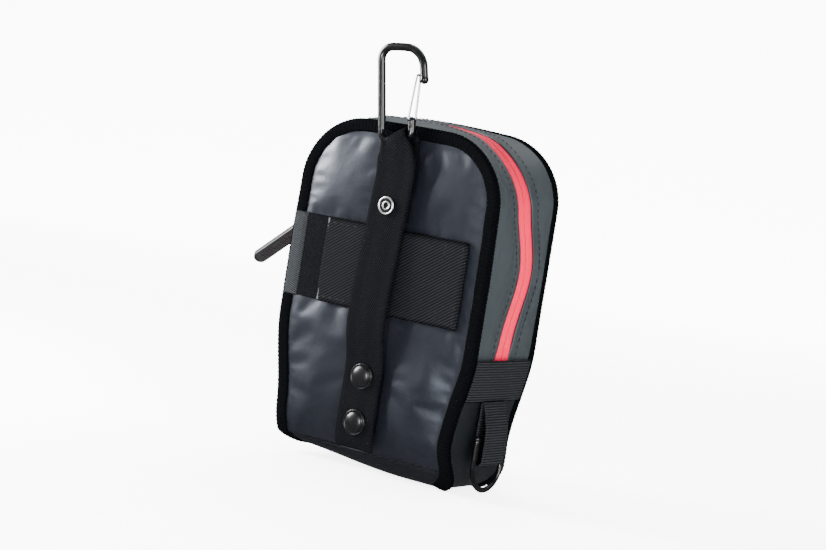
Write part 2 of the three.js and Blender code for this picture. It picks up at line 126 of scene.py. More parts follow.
# ---- Materials ------------------------------------------------------------------------
class Nodes:
    """A short way to write a material's nodes."""

    def __init__(self, name, color, rough, metal=0.0, **sockets):
        self.material = bpy.data.materials.new(name)
        self.material.use_nodes = True
        self.tree = self.material.node_tree
        self.shader = self.tree.nodes["Principled BSDF"]
        self.set("Base Color", (*color, 1))
        self.set("Roughness", rough)
        self.set("Metallic", metal)
        for key, value in sockets.items():
            self.set(key.replace("_", " "), value)

    def set(self, socket, value):
        self.shader.inputs[socket].default_value = value

    def node(self, kind, **inputs):
        made = self.tree.nodes.new("ShaderNode" + kind)
        for key, value in inputs.items():
            if hasattr(made, key):
                setattr(made, key, value)
            else:
                self.plug(made.inputs[key.replace("_", " ")], value)
        return made

    def plug(self, socket, value):
        if isinstance(value, bpy.types.NodeSocket):
            self.tree.links.new(value, socket)
        else:
            socket.default_value = value

    def math(self, operation, *values):
        made = self.tree.nodes.new("ShaderNodeMath")
        made.operation = operation
        for socket, value in zip(made.inputs, values):
            self.plug(socket, value)
        return made.outputs[0]

    def place(self):
        """Position in the object's own frame, in millimetres."""
        coord = self.tree.nodes.new("ShaderNodeTexCoord").outputs["Object"]
        scale = self.tree.nodes.new("ShaderNodeVectorMath")
        scale.operation = "SCALE"
        scale.inputs["Scale"].default_value = 1 / MM
        self.plug(scale.inputs[0], coord)
        return scale.outputs[0]

    def lay(self):
        """Distance along the strip and across it, in millimetres."""
        made = self.tree.nodes.new("ShaderNodeAttribute")
        made.attribute_name = "lay"
        parts = self.tree.nodes.new("ShaderNodeSeparateXYZ")
        self.plug(parts.inputs[0], made.outputs["Vector"])
        return parts.outputs[0], parts.outputs[1]

    def noise(self, vector, scale, detail=2.0, rough=0.5):
        made = self.node("TexNoise", Scale=scale, Detail=detail, Roughness=rough)
        self.plug(made.inputs["Vector"], vector)
        return made.outputs[0]

    def wave(self, value, pitch):
        """A smooth wave of that pitch, from 0 to 1."""
        turn = self.math("MULTIPLY", value, 2 * math.pi / pitch)
        return self.math("MULTIPLY_ADD", self.math("SINE", turn), 0.5, 0.5)

    def ramp(self, value, low, high):
        made = self.node("MapRange")
        self.plug(made.inputs["Value"], value)
        made.inputs["To Min"].default_value = low
        made.inputs["To Max"].default_value = high
        return made.outputs[0]

    def tint(self, value, dark, light):
        made = self.tree.nodes.new("ShaderNodeMix")
        made.data_type = "RGBA"
        self.plug(made.inputs[0], value)
        made.inputs[6].default_value = (*dark, 1)
        made.inputs[7].default_value = (*light, 1)
        self.plug(self.shader.inputs["Base Color"], made.outputs[2])

    def bump(self, height, distance, strength=1.0, normal=None):
        made = self.node("Bump", Strength=strength, Distance=distance * MM, Height=height)
        if normal is not None:
            self.plug(made.inputs["Normal"], normal)
        self.plug(self.shader.inputs["Normal"], made.outputs[0])
        return made.outputs[0]


def shades(color, low, high):
    return [c * low for c in color], [c * high for c in color]


def coated(name, color, rough, gloss):
    """Coated fabric: a fine pebbled grain, soft sheen and slow changes of gloss."""
    m = Nodes(name, color, rough, Specular_IOR_Level=gloss, Specular_Tint=(0.78, 0.85, 1, 1))
    place = m.place()
    slow = m.noise(place, 0.03, 3)
    grain = m.noise(place, 1.6, 3, 0.6)
    m.tint(slow, *shades(color, 0.85, 1.18))
    m.plug(m.shader.inputs["Roughness"], m.ramp(slow, rough - 0.05, rough + 0.07))
    soft = m.bump(m.noise(place, 0.22, 2), 0.25, 0.35)
    m.bump(grain, 0.05, 0.55, soft)
    return m.material


def twill(name, color, pitch, slope=1.0, herringbone=0.0, rough=0.72):
    """Webbing: diagonal ribs, turned over from stripe to stripe for a herringbone."""
    m = Nodes(name, color, rough, Specular_IOR_Level=0.012)
    along, across = m.lay()
    if herringbone:
        across = m.math("PINGPONG", across, herringbone)
    diagonal = m.math("ADD", along, m.math("MULTIPLY", across, slope))
    rib = m.wave(diagonal, pitch)
    yarn = m.noise(m.place(), 2.2, 3, 0.65)
    thread = m.wave(across, 0.55)
    height = m.math("ADD", rib, m.math("MULTIPLY", yarn, 0.7))
    height = m.math("ADD", height, m.math("MULTIPLY", thread, 0.25))
    m.tint(m.math("MULTIPLY", rib, yarn), *shades(color, 0.3, 4.2))
    m.bump(height, 0.22, 0.9)
    return m.material


def grosgrain(name, color, pitch):
    """Ribbed tape: ribs across the strip, with fine yarn."""
    m = Nodes(name, color, 0.8, Specular_IOR_Level=0.008)
    along, across = m.lay()
    rib = m.wave(along, pitch)
    yarn = m.noise(m.place(), 2.4, 3, 0.7)
    height = m.math("ADD", rib, m.math("MULTIPLY", yarn, 0.8))
    height = m.math("ADD", height, m.math("MULTIPLY", m.wave(across, 0.6), 0.3))
    m.tint(m.math("MULTIPLY", rib, yarn), *shades(color, 0.5, 2.2))
    m.bump(height, 0.2, 0.9)
    return m.material


def fuzzy(name, color, scale):
    """Hook or loop pile: a fine, uneven nap."""
    m = Nodes(name, color, 0.95, Specular_IOR_Level=0.008)
    place = m.place()
    nap = m.noise(place, scale, 4, 0.75)
    tuft = m.node("TexVoronoi", Scale=scale * 0.8)
    m.plug(tuft.inputs["Vector"], place)
    height = m.math("ADD", nap, m.math("MULTIPLY", tuft.outputs["Distance"], 0.6))
    m.tint(nap, *shades(color, 0.15, 5.0))
    m.bump(height, 0.5, 1.0)
    return m.material


def zip_cloth(name, color):
    """Woven zip tape: a fine herringbone across the tape, a little lighter on the ribs."""
    m = Nodes(name, color, 0.75, Specular_IOR_Level=0.04)
    along, across = m.lay()
    diagonal = m.math("ADD", along, m.math("PINGPONG", across, 1.6))
    rib = m.wave(diagonal, 0.9)
    yarn = m.noise(m.place(), 1.8, 3, 0.6)
    m.tint(m.math("MULTIPLY", rib, yarn), *shades(color, 0.82, 1.2))
    m.bump(m.math("ADD", rib, yarn), 0.1, 0.7)
    return m.material


def smooth_metal(name, color, rough, metal=1.0, gloss=0.5):
    """Metal or paint with faint wear: slow changes of gloss and a very fine grain."""
    m = Nodes(name, color, rough, metal, Specular_IOR_Level=gloss)
    place = m.place()
    slow = m.noise(place, 0.25, 3)
    m.tint(slow, *shades(color, 0.8, 1.25))
    m.plug(m.shader.inputs["Roughness"], m.ramp(slow, rough - 0.05, rough + 0.08))
    m.bump(m.noise(place, 1.2, 2), 0.006, 0.4)
    return m.material


def moulded(name, color, rough, grain):
    """Rubber, foam or plastic with a fine grain of that scale."""
    m = Nodes(name, color, rough, Specular_IOR_Level=0.25)
    place = m.place()
    pits = m.noise(place, grain, 3, 0.6)
    m.tint(m.noise(place, 0.2, 2), *shades(color, 0.85, 1.2))
    m.bump(pits, 0.06, 0.6)
    return m.material


MATERIALS = {
    "coated_fabric": coated("coated_fabric", (0.0024, 0.0027, 0.0044), 0.34, 0.4),
    "gusset_fabric": coated("gusset_fabric", (0.0122, 0.0155, 0.0168), 0.50, 0.35),
    # The base's copy of the coated fabric, darker and less glossy: painted shade for the panel that faces the floor.
    "base_fabric_painted_shade": coated("base_fabric_painted_shade", (0.0022, 0.0024, 0.0034), 0.40, 0.2),
    "foot_fabric": coated("foot_fabric", (0.0042, 0.0047, 0.0055), 0.42, 0.2),
    "grosgrain": grosgrain("grosgrain", (0.0008, 0.0009, 0.0012), 1.2),
    "webbing": twill("webbing", (0.0014, 0.0015, 0.0019), 1.7, 1.0, 6.2),
    "band_webbing": twill("band_webbing", (0.0028, 0.0030, 0.0036), 2.8, 1.5),
    "edge_webbing": twill("edge_webbing", (0.010, 0.011, 0.012), 1.2, 0.4),
    "cut_edge": fuzzy("cut_edge", (0.016, 0.017, 0.019), 1.6),
    "ribbed_webbing": twill("ribbed_webbing", (0.0050, 0.0054, 0.0062), 1.5, 0.0),
    "hook_tape": fuzzy("hook_tape", (0.003, 0.003, 0.0034), 1.6),
    "loop_tape": fuzzy("loop_tape", (0.0009, 0.0010, 0.0012), 1.0),
    "foam": moulded("foam", (0.03, 0.03, 0.034), 0.95, 1.2),
    "lining": twill("lining", (0.035, 0.038, 0.042), 0.8, 1.0),
    "zip_tape": zip_cloth("zip_tape", (0.42, 0.0002, 0.026)),
    "zip_coil": moulded("zip_coil", (0.42, 0.004, 0.022), 0.4, 0.8),
    "zip_metal": smooth_metal("zip_metal", (0.008, 0.008, 0.009), 0.35, 0.5),
    "pull_rubber": moulded("pull_rubber", (0.008, 0.008, 0.009), 0.45, 1.5),
    "black_metal": smooth_metal("black_metal", (0.0012, 0.0012, 0.0014), 0.20, 0.0, gloss=0.42),
    # The dark disc across the eyelet: in its hole it is painted shade over the nickel socket behind, and between the
    # two rings it makes the flange dark.
    "eyelet_dark_disc": smooth_metal("eyelet_dark_disc", (0.001, 0.001, 0.0012), 0.5, 0.0, gloss=0.08),
    "gate_wire": smooth_metal("gate_wire", (0.30, 0.31, 0.33), 0.22),
    "snap_cap": smooth_metal("snap_cap", (0.002, 0.002, 0.0024), 0.28, 0.0, gloss=0.24),
    "snap_metal": smooth_metal("snap_metal", (0.02, 0.02, 0.022), 0.35, 0.8),
    "nickel": smooth_metal("nickel", (0.48, 0.48, 0.49), 0.34),
    "thread": moulded("thread", (0.003, 0.0035, 0.004), 0.9, 3.0),
}


# ---- Mesh helpers -----------------------------------------------------------------------
def unit(v):
    return v / np.maximum(np.linalg.norm(v, axis=-1, keepdims=True), 1e-9)


def smooth_path(points, step):
    """Points spaced evenly on a smooth line through the given ones."""
    p = np.array(points, float)
    ends = np.vstack([2 * p[0] - p[1], p, 2 * p[-1] - p[-2]])
    dense = []
    for a, b, c, d in zip(ends, ends[1:], ends[2:], ends[3:]):
        t = np.linspace(0, 1, 24, endpoint=False)[:, None]
        m0, m1 = (c - a) / 2, (d - b) / 2
        h = 2 * t**3 - 3 * t**2 + 1, t**3 - 2 * t**2 + t, -2 * t**3 + 3 * t**2, t**3 - t**2
        dense.append(h[0] * b + h[1] * m0 + h[2] * c + h[3] * m1)
    return even(np.vstack([*dense, p[-1:]]), step)


def even(p, step):
    """The same line with its points spaced evenly."""
    s = lengths(p)
    at = np.linspace(0, s[-1], max(3, int(round(s[-1] / step)) + 1))
    return np.stack([np.interp(at, s, p[:, k]) for k in range(p.shape[1])], 1)


def lengths(p):
    return np.concatenate([[0], np.cumsum(np.linalg.norm(np.diff(p, axis=0), axis=1))])


def tangents(p):
    return unit(np.gradient(p, axis=0))


def slump(p):
    """The soft form gives: it droops at the top, dents at one corner and is fuller at one foot."""
    p = np.array(p, float)
    x, y, z = p[..., 0].copy(), p[..., 1].copy(), p[..., 2].copy()
    high = smoothstep(z, 105, TOP)
    drop = smoothstep(-y, -4, 33) * high
    front = smoothstep(y, 0, 33) * high * smoothstep(x, -20, 55)
    dent = np.exp(-((x - 50) ** 2 + (z - 187) ** 2) / 1100) * np.clip(1 - (y / 31) ** 2, 0, 1)
    p[..., 2] -= 4.8 * drop + 2.2 * front + 5.0 * dent
    p[..., 0] *= 1 - 0.025 * drop
    p[..., 0] -= 3.6 * dent
    spread = 1 - smoothstep(z, KEEL_Z, 24)
    p[..., 0] += spread * (3.4 * smoothstep(x, 0, 55) + 1.2 * smoothstep(-x, 0, 55))
    full = 1 - 0.52 * smoothstep(-x, -25, 62)
    low = z < SEAM_Z
    p[..., 2] = np.where(low, SEAM_Z + (z - SEAM_Z) * full, p[..., 2])
    return p


def make(name, verts, faces, slot, body, lay=None, material=None, replaces=(), blend=None, soft=False):
    """A finished piece; a soft one follows the pouch's slump."""
    mesh = bpy.data.meshes.new(name)
    verts = slump(verts) if soft else np.asarray(verts)
    mesh.from_pydata(((verts + LIFT) * MM).tolist(), [], faces)
    if lay is not None:
        mesh.attributes.new("lay", "FLOAT_VECTOR", "POINT").data.foreach_set(
            "vector", np.asarray(lay, np.float32).ravel()
        )
    clean = bmesh.new()
    clean.from_mesh(mesh)
    bmesh.ops.remove_doubles(clean, verts=clean.verts, dist=1e-6)
    bmesh.ops.recalc_face_normals(clean, faces=clean.faces)
    clean.to_mesh(mesh)
    clean.free()
    mesh.validate()
    mesh.shade_smooth()
    mesh.materials.append(MATERIALS[material or slot])
    obj = bpy.data.objects.new(name, mesh)
    bpy.context.scene.collection.objects.link(obj)
    if blend:
        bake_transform(obj)
    else:
        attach(obj, body)
    if replaces:
        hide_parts(*replaces)
    return obj


def grid_faces(n, m, start=0, flip=False, wrap=False):
    faces = []
    for i in range(n - 1):
        for j in range(m if wrap else m - 1):
            a, b = start + i * m + j, start + i * m + (j + 1) % m
            quad = (a, b, b + m, a + m)
            faces.append(quad[::-1] if flip else quad)
    return faces


def grid_normals(p):
    return unit(np.cross(np.gradient(p, axis=1), np.gradient(p, axis=0)))


def inward(outer, depth, inside=(0, 0, 100)):
    """A grid moved that far towards the inside."""
    normals = grid_normals(outer)
    away = np.sum(normals * (outer - np.array(inside)))
    return outer - normals * depth * np.sign(away)


def slab(outer, thickness):
    """A closed sheet: the outer grid, the same grid moved towards the inside, and the rim."""
    n, m, _ = outer.shape
    inner = inward(outer, thickness)
    verts = np.concatenate([outer.reshape(-1, 3), inner.reshape(-1, 3)])
    faces = grid_faces(n, m, 0, True) + grid_faces(n, m, n * m, False)
    rim = [(0, j) for j in range(m)] + [(i, m - 1) for i in range(1, n)]
    rim += [(n - 1, j) for j in range(m - 2, -1, -1)] + [(i, 0) for i in range(n - 2, 0, -1)]
    loop = [i * m + j for i, j in rim]
    for a, b in zip(loop, loop[1:] + loop[:1]):
        faces.append((a, b, b + n * m, a + n * m))
    return verts, faces


def end_caps(n, m, start=0):
    """The faces that close the two ends of a tube of n rings of m points."""
    return [tuple(start + j for j in range(m))[::-1], tuple(start + (n - 1) * m + j for j in range(m))]


def joined(*parts):
    """Several pairs of verts and faces as one pair."""
    verts, faces, start = [], [], 0
    for more, more_faces in parts:
        faces += [tuple(i + start for i in face) for face in more_faces]
        verts.append(np.asarray(more, float))
        start += len(more)
    return np.vstack(verts), faces


def weave(along, across, copies=1):
    """Each point's place along a strip and across it, for its weave."""
    a, b = np.broadcast_arrays(along, across)
    return np.concatenate([np.stack([a, b, 0.0 * a], -1).reshape(-1, 3)] * copies)


def sweep(center, across, normal, section):
    """A closed section of (across, out) points carried along a line of centres."""
    section = np.asarray(section, float)
    if section.ndim == 2:
        section = np.repeat(section[None], len(center), 0)
    verts = center[:, None] + section[..., :1] * across[:, None] + section[..., 1:] * normal[:, None]
    n, m, _ = verts.shape
    faces = grid_faces(n, m, 0, False, True) + end_caps(n, m)
    return verts.reshape(-1, 3), faces, weave(lengths(center)[:, None], section[..., 0])


def web_section(width, thick, count=12):
    """A webbing's section: flat faces and soft, slightly thinner edges."""
    half = width / 2
    top = []
    for t in np.linspace(-1, 1, count):
        edge = max(0.0, abs(t) * half - (half - 1.2)) / 1.2
        top.append((t * half, thick / 2 * math.sqrt(max(0.0, 1 - edge**2.2))))
    return top[:-1] + [(a, -h) for a, h in top[::-1]][:-1]


def round_section(radius, sides=16):
    turn = np.linspace(0, 2 * math.pi, sides, endpoint=False)
    return np.stack([radius * np.cos(turn), radius * np.sin(turn)], 1)


def turned(profile, at, sides=40):
    """A turned piece about the Y axis; the profile is a list of (radius, y)."""
    profile = np.asarray(profile, float)
    turn = np.linspace(0, 2 * math.pi, sides, endpoint=False)
    ring = np.zeros((len(profile), sides, 3))
    ring[..., 0] = profile[:, :1] * np.cos(turn) + at[0]
    ring[..., 1] = profile[:, 1:]
    ring[..., 2] = profile[:, :1] * np.sin(turn) + at[1]
    return ring.reshape(-1, 3), grid_faces(len(profile), sides, 0, False, True)


def arc(cx, cy, radius, start, end, count):
    turn = np.radians(np.linspace(start, end, count + 1))
    return np.stack([cx + radius * np.cos(turn), cy + radius * np.sin(turn)], 1)


def rough(p, seed):
    """Smooth noise from about -1 to 1 at each point."""
    value = [noise.fractal(Vector(q), 1.0, 2.0, 2) for q in p.reshape(-1, 3) + seed]
    return np.array(value).reshape(p.shape[:-1])


def ripple(a, b, seed):
    """Smooth noise over a surface, from two of its own coordinates."""
    a, b = np.broadcast_arrays(a, b)
    return rough(np.stack([a, b, 0.0 * a], -1), seed)


# ---- The pouch's form ---------------------------------------------------------------------
def smoothstep(x, low, high):
    t = np.clip((x - low) / (high - low), 0, 1)
    return t * t * (3 - 2 * t)


def side_x(z):
    """Half the width at a height, below the top corners."""
    side = HALF_W - TAPER * (1 - smoothstep(z, TAPER_LOW, TAPER_HIGH))
    drop = np.clip(FOOT_R - LIFT[2] - z, 0, FOOT_R)
    return side - FOOT_R + np.sqrt(FOOT_R**2 - drop**2)


def half_width(z):
    """Half the width at a height, with the top corners."""
    rise = np.clip(z - (TOP - TOP_R), 0, TOP_R)
    corner = TOP_R - np.sqrt(np.clip(TOP_R**2 - rise**2, 0, None))
    return side_x(z) - corner


def keel_y(z):
    """Distance of the rear or front wall from the middle at a height."""
    drop = np.clip((KEEL_UP + KEEL_Z - z) / KEEL_UP, 0, 1)
    return HALF_D - KEEL_IN * (1 - np.sqrt(1 - drop**2))


def rim_path(step):
    """Right side up, over the top and down the left side, seen from the rear: (x, z)."""
    foot = FOOT_R * (1 - np.cos(np.linspace(0, math.pi / 2, 14))) + KEEL_Z
    z = np.concatenate([foot, np.arange(13, TOP - TOP_R, 3)])
    right = np.stack([side_x(z), z], 1)
    corner = arc(HALF_W - TOP_R, TOP - TOP_R, TOP_R, 0, 90, 24)
    right = np.vstack([right, corner, [[(HALF_W - TOP_R) / 2, TOP + 0.3]], [[0, TOP + 0.4]]])
    left = (right * [-1, 1])[-2::-1]
    return even(np.vstack([right, left]), step)


def rim_normals(path):
    t = tangents(path)
    return np.stack([t[:, 1], -t[:, 0]], 1)


SNAPS = [(middle(f"{name}_snap_cap")[0], middle(f"{name}_snap_cap")[2]) for name in ("upper", "lower")]


def crown(x, z):
    """How far the padded panels swell; the belt band holds them flat and the snaps draw them in."""
    u = np.clip(np.abs(x) / (half_width(z) - 6), 0, 1)
    swell = 2.0 * (1 - u**2) ** 0.8 * smoothstep(z, 7, 40) * (1 - smoothstep(z, 160, 194))
    swell = swell * (1 - 0.75 * np.exp(-(((z - sum(BAND_Z) / 2) / 26) ** 2)))
    for sx, sz in SNAPS:
        swell = swell * (1 - 0.9 * np.exp(-((x - sx) ** 2 + (z - sz) ** 2) / 130))
    return swell


def panel_out(x, z):
    return keel_y(z) + crown(x, z)


CLOTH_SCALE = 10  # the simulation works on a panel ten times as large


def settle(points, pinned, pressure, growth, cap, frames=18):
    """Lets a pinned sheet that is slightly too large find its own wrinkles, by cloth simulation."""
    n, m, _ = points.shape
    mesh = bpy.data.meshes.new("settling")
    mesh.from_pydata((points.reshape(-1, 3) * MM * CLOTH_SCALE).tolist(), [], grid_faces(n, m))
    obj = bpy.data.objects.new("settling", mesh)
    bpy.context.scene.collection.objects.link(obj)
    group = obj.vertex_groups.new(name="pinned")
    group.add([int(i) for i in np.flatnonzero(pinned.ravel())], 1.0, "REPLACE")
    cloth = obj.modifiers.new("cloth", "CLOTH").settings
    cloth.quality = 6
    cloth.mass = 0.3
    cloth.tension_stiffness = cloth.compression_stiffness = 25
    cloth.shear_stiffness = 12
    cloth.bending_stiffness = 6
    cloth.vertex_group_mass = "pinned"
    cloth.use_pressure = True
    cloth.uniform_pressure_force = pressure
    cloth.shrink_min = cloth.shrink_max = -growth
    cloth.effector_weights.gravity = 0
    scene = bpy.context.scene
    for step in range(1, frames + 1):
        scene.frame_set(step)
    graph = bpy.context.evaluated_depsgraph_get()
    result = obj.evaluated_get(graph).to_mesh()
    moved = np.zeros(n * m * 3, np.float32)
    result.vertices.foreach_get("co", moved)
    obj.evaluated_get(graph).to_mesh_clear()
    scene.frame_set(1)
    bpy.data.objects.remove(obj)
    bpy.data.meshes.remove(mesh)
    shift = moved.reshape(n, m, 3) / (MM * CLOTH_SCALE) - points
    size = np.linalg.norm(shift, axis=-1, keepdims=True)
    return points + shift * np.minimum(1, cap / np.maximum(size, 1e-6))


# ---- Panels, base and gusset --------------------------------------------------------------
# Where fabric turns from one body to the next: the two bodies, and the points between.
FRONT_FOLD = ("pouch", "front_flap", (0, HALF_D, 70), (0, HALF_D, 81))
GUSSET_FOLD = ("pouch", "front_flap", (0, 0, 80), (0, 10, 106))
STRAP_FOLD = ("pouch", "strap_flap", (0, -44, 94), (0, -44, 81))
BAND_FOLD = ("pouch", "band_end", (-9, 0, 113), (-19, 0, 113))
LINING_FOLD = ("pouch", "front_flap", (0, 0, 70), (0, 0, 81))


def panel_points(side, low, columns=84, rows=124):
    """The rear (side -1) or front (side 1) wall as a grid, from the seam up to the top."""
    t = np.linspace(0, 1, rows)
    z = low + (TOP - 1.2 - low) * (t - 0.12 * np.sin(math.pi * 2 * t) / (2 * math.pi))
    u = np.linspace(-1, 1, columns)
    width = half_width(z) - 1.2
    x = width[:, None] * u
    z = np.repeat(z[:, None], columns, 1)
    out = panel_out(x, z)
    edge = np.minimum((1 - np.abs(u)) * width[:, None], TOP - 8 - z)
    pucker = np.sin(x / 2.3 + 1.5 * np.sin(x / 11)) * np.exp(-np.clip(TOP - 6 - z, 0, 99) / 9)
    wave = ripple(x / 26, z / 60, 3.1 + side)
    fine = ripple(x / 11, z / 22, 7.7 + side)
    free = smoothstep(edge, -2, 16)
    wave = wave * (1.05 - 0.65 * smoothstep(z, 120, 150))
    if side < 0:
        low_part = smoothstep(z, 4, 22) * (1 - smoothstep(z, 52, 80))
        ridges = 1.8 * np.exp(-(((x - 41) / 9) ** 2)) + 1.3 * np.exp(-(((x + 48 - 0.3 * z) / 7) ** 2))
        out = out + ridges * low_part * free
    out = out + 0.12 * pucker * (z < TOP - 5) + free * (wave + 0.12 * fine)
    return np.stack([x, side * out, z], -1)


def panel_lay(p):
    return weave(p[..., 2], p[..., 0], 2)


def add_foam(name, outer, body, replaces, blend=None):
    """The foam just under a wall's fabric, made from that fabric's own grid."""
    verts, faces = slab(inward(outer[2:-3:2, 2:-2:2], 1.4), 2.0)
    make(name, verts, faces, "foam", body, replaces=replaces, blend=blend, soft=True)


def add_panels():
    for side, name in ((-1, "rear_panel_fabric"), (1, "front_panel_fabric")):
        points = panel_points(side, SEAM_Z)
        pinned = np.zeros(points.shape[:2], bool)
        pinned[:5] = pinned[-7:] = True
        pinned[:, :5] = pinned[:, -5:] = True
        if side < 0:
            x, z = points[..., 0], points[..., 2]
            pinned |= (np.abs(x) < 15) | ((z > BAND_Z[0]) & (z < BAND_Z[1]) & (x < BAND_RIGHT))
        points = settle(points, pinned, -0.6 * side, 0.0035, 2.2)
        verts, faces = slab(points, 1.1)
        lay = panel_lay(points)
        if side < 0:
            made = make(name, verts, faces, "coated_fabric", "pouch", lay, replaces=["rear_panel"], soft=True)
            add_foam("rear_foam_pad", points, "pouch", ["rear_foam"])
        else:
            nodes = ["front_panel_lower", "front_panel_upper"]
            made = make(name, verts, faces, "coated_fabric", None, lay, replaces=nodes, blend=FRONT_FOLD, soft=True)
            add_foam("front_foam_pad", points, None, ["front_foam_lower", "front_foam_upper"], FRONT_FOLD)


def add_base():
    """The base panel: round the keel from the rear seam to the front one, creased lengthways."""
    turn = np.linspace(0, 1, 12)
    z = KEEL_Z + (SEAM_Z - 0.25 - KEEL_Z) * (1 - turn) ** 1.6
    rear = np.stack([-keel_y(z), z], 1)
    flat = np.stack([np.linspace(-keel_y(KEEL_Z), keel_y(KEEL_Z), 26)[1:-1], np.full(24, KEEL_Z)], 1)
    line = np.vstack([rear, flat, (rear * [-1, 1])[::-1]])
    u = np.linspace(-1, 1, 70)
    width = side_x(line[:, 1]) - 1.3
    p = np.zeros((len(line), len(u), 3))
    p[..., 0] = width[:, None] * u
    p[..., 1:] = line[:, None]
    crease = rough(p / [60, 5, 3], 5.0)
    lift = 0.9 * smoothstep(p[..., 2], KEEL_Z + 0.3, KEEL_Z + 4) * crease
    p[..., 1] += np.sign(p[..., 1]) * lift
    verts, faces = slab(p, 1.0)
    lay = panel_lay(p)
    # The base takes the darker copy of the coated fabric: painted shade, since it faces the floor.
    made = make("base_fabric_painted_shade", verts, faces, "coated_fabric", "pouch", lay, "base_fabric_painted_shade", ["base_panel"], soft=True)
    add_foam("base_foam_pad", p, "pouch", ["base_foam"])


def zip_middle(x, z):
    """The zip's line wanders on the right side, where the gusset bulges, and is straight elsewhere."""
    right = (11 * np.exp(-(((z - 124) / 27) ** 2)) - 2) * smoothstep(x, 20, 60)
    return right + 5 * smoothstep(z, 178, 198) * (1 - smoothstep(x, 5, 50))


def upper_rim(step):
    path = rim_path(step)
    return path[path[:, 1] > SIDE_Z[1] - 3]


def gusset_grid(side, step=2.2, columns=22):
    path = upper_rim(step)
    normal = rim_normals(path)
    middle_y = zip_middle(path[:, 0], path[:, 1])
    near = middle_y + side * 7.6
    far = np.full(len(path), side * (HALF_D - 1.4))
    t = np.linspace(0, 1, columns)
    y = far[:, None] * (1 - t) + near[:, None] * t
    reach = np.abs(near - far)[:, None] * (1 - t)
    hem = 0.5 * (reach < 6.0) + 0.35 * (reach < 1.2)
    stitch = -0.45 * np.exp(-(((reach - 5.4) / 0.7) ** 2))
    bulge = 1.1 * np.sin(math.pi * np.clip(t * 1.15, 0, 1)) ** 0.8
    wave = ripple(lengths(path)[:, None] / 34, y / 14, 9 + side)
    offset = bulge + hem + stitch + 0.5 * wave * np.sin(math.pi * t)
    offset = offset * (0.15 + 0.85 * smoothstep(path[:, 1:], SIDE_Z[1], SIDE_Z[1] + 9))
    p = np.zeros((len(path), columns, 3))
    p[..., 0] = path[:, :1] + normal[:, :1] * offset
    p[..., 1] = y
    p[..., 2] = path[:, 1:] + normal[:, 1:] * offset
    return p, path, normal, near


def add_gusset():
    for side, name, node in (
        (-1, "gusset_rear_fabric", "rear_zip_gusset"),
        (1, "gusset_front_fabric", "front_zip_gusset"),
    ):
        p, path, normal, near = gusset_grid(side)
        verts, faces = slab(p, 1.0)
        blend = GUSSET_FOLD if side > 0 else None
        make(name, verts, faces, "gusset_fabric", "pouch", replaces=[node], blend=blend, soft=True)
        out = np.stack([normal[:, 0], 0 * near, normal[:, 1]], 1)
        line = np.stack([path[:, 0], near + side * 5.4, path[:, 1]], 1) + out * 1.3
        word = "rear" if side < 0 else "front"
        add_stitches(f"gusset_stitch_{word}", line, out, "pouch", blend=blend, soft=True)


def foot_grid(side, columns=40):
    z = np.concatenate([np.linspace(KEEL_Z + 1.2, 14, 17), np.linspace(15.5, SIDE_Z[1] - 3.4, 34)])
    t = np.linspace(-1, 1, columns)
    y = (keel_y(z) - 1.3)[:, None] * t
    z = np.repeat(z[:, None], columns, 1)
    wave = ripple(y / 22, z / 26, 2.0 + side)
    round_out = (1 - t**2) * (0.4 + 1.2 * smoothstep(z, 0, 20) * (1 - smoothstep(z, 34, 50)))
    x = side_x(z) + round_out + 0.7 * wave * (1 - t**2) * (1 - smoothstep(z, 38, 48))
    return np.stack([side * x, y, z], -1)


def add_feet():
    for side, word in ((1, "right"), (-1, "left")):
        p = foot_grid(side)
        verts, faces = slab(p, 1.0)
        name, node = f"gusset_foot_{word}", f"gusset_lower_{word}"
        make(name, verts, faces, "gusset_fabric", "pouch", None, "foot_fabric", [node], soft=True)


def add_side_bands():
    """Webbing across each gusset where the zip ends, tucked under the binding."""
    for side, word in ((1, "right"), (-1, "left")):
        y = np.linspace(-29.2, 29.2, 60)
        z = np.linspace(*SIDE_Z, 20)
        yy, zz = np.meshgrid(y, z)
        t = yy / 29.2
        edge = np.minimum(zz - SIDE_Z[0], SIDE_Z[1] - zz)
        swell = 0.9 * (1 - t**2) + 0.2 * ripple(yy / 20, zz / 14, 4.0 + side)
        x = side_x(zz) + 2.1 + swell - 0.5 * np.clip(1 - edge / 1.0, 0, 1) ** 2
        p = np.stack([side * x, yy, zz], -1)
        verts, faces = slab(p, WEB_T)
        lay = weave(zz, yy, 2)
        node = f"side_band_{word}"
        make(f"{node}_webbing", verts, faces, "webbing", "pouch", lay, "ribbed_webbing", [node])


# ---- Binding ------------------------------------------------------------------------------
BINDING = [
    (6.3, 0, 0.1, 0), (5.9, 0, 0.75, 0), (4.8, 0, 1.2, 0), (3.2, 0, 1.35, 0), (1.8, 0, 1.45, 0.1),
    (0.7, 0, 1.3, 0.7), (0, 0, 0.95, 0.95), (0, 0.7, 0.7, 1.3), (0, 1.8, 0.1, 1.35),
    (0, 3.0, 0, 1.1), (0, 3.9, 0, 0.75), (0, 4.3, 0, 0.1), (0, 3.2, 0, -0.35),
    (0, 1.0, -0.3, -0.35), (1.0, 0, -0.35, -0.3), (3, 0, -0.35, 0), (5.4, 0, -0.3, 0),
]  # across the panel, across the gusset, out of the panel, out of the gusset


def edge_line(side, step):
    """The seam between a panel and the gusset, from under one foot over the top to the other."""
    path = rim_path(step)
    z = np.maximum(path[:, 1], KEEL_Z + 1.1)
    y = keel_y(path[:, 1])
    x = path[:, 0]
    run = np.linspace(0, keel_y(KEEL_Z), 30)[:-1]
    under = np.stack([np.full(29, x[0]), run, np.full(29, z[0])], 1)
    line = np.vstack([under, np.stack([x, y, z], 1), (under * [-1, 1, 1])[::-1]])
    return even(line * [1, side, 1], step)


def soften(v, passes):
    for _ in range(passes):
        v = np.vstack([v[:1], (v[:-2] + 2 * v[1:-1] + v[2:]) / 4, v[-1:]])
    return unit(v)


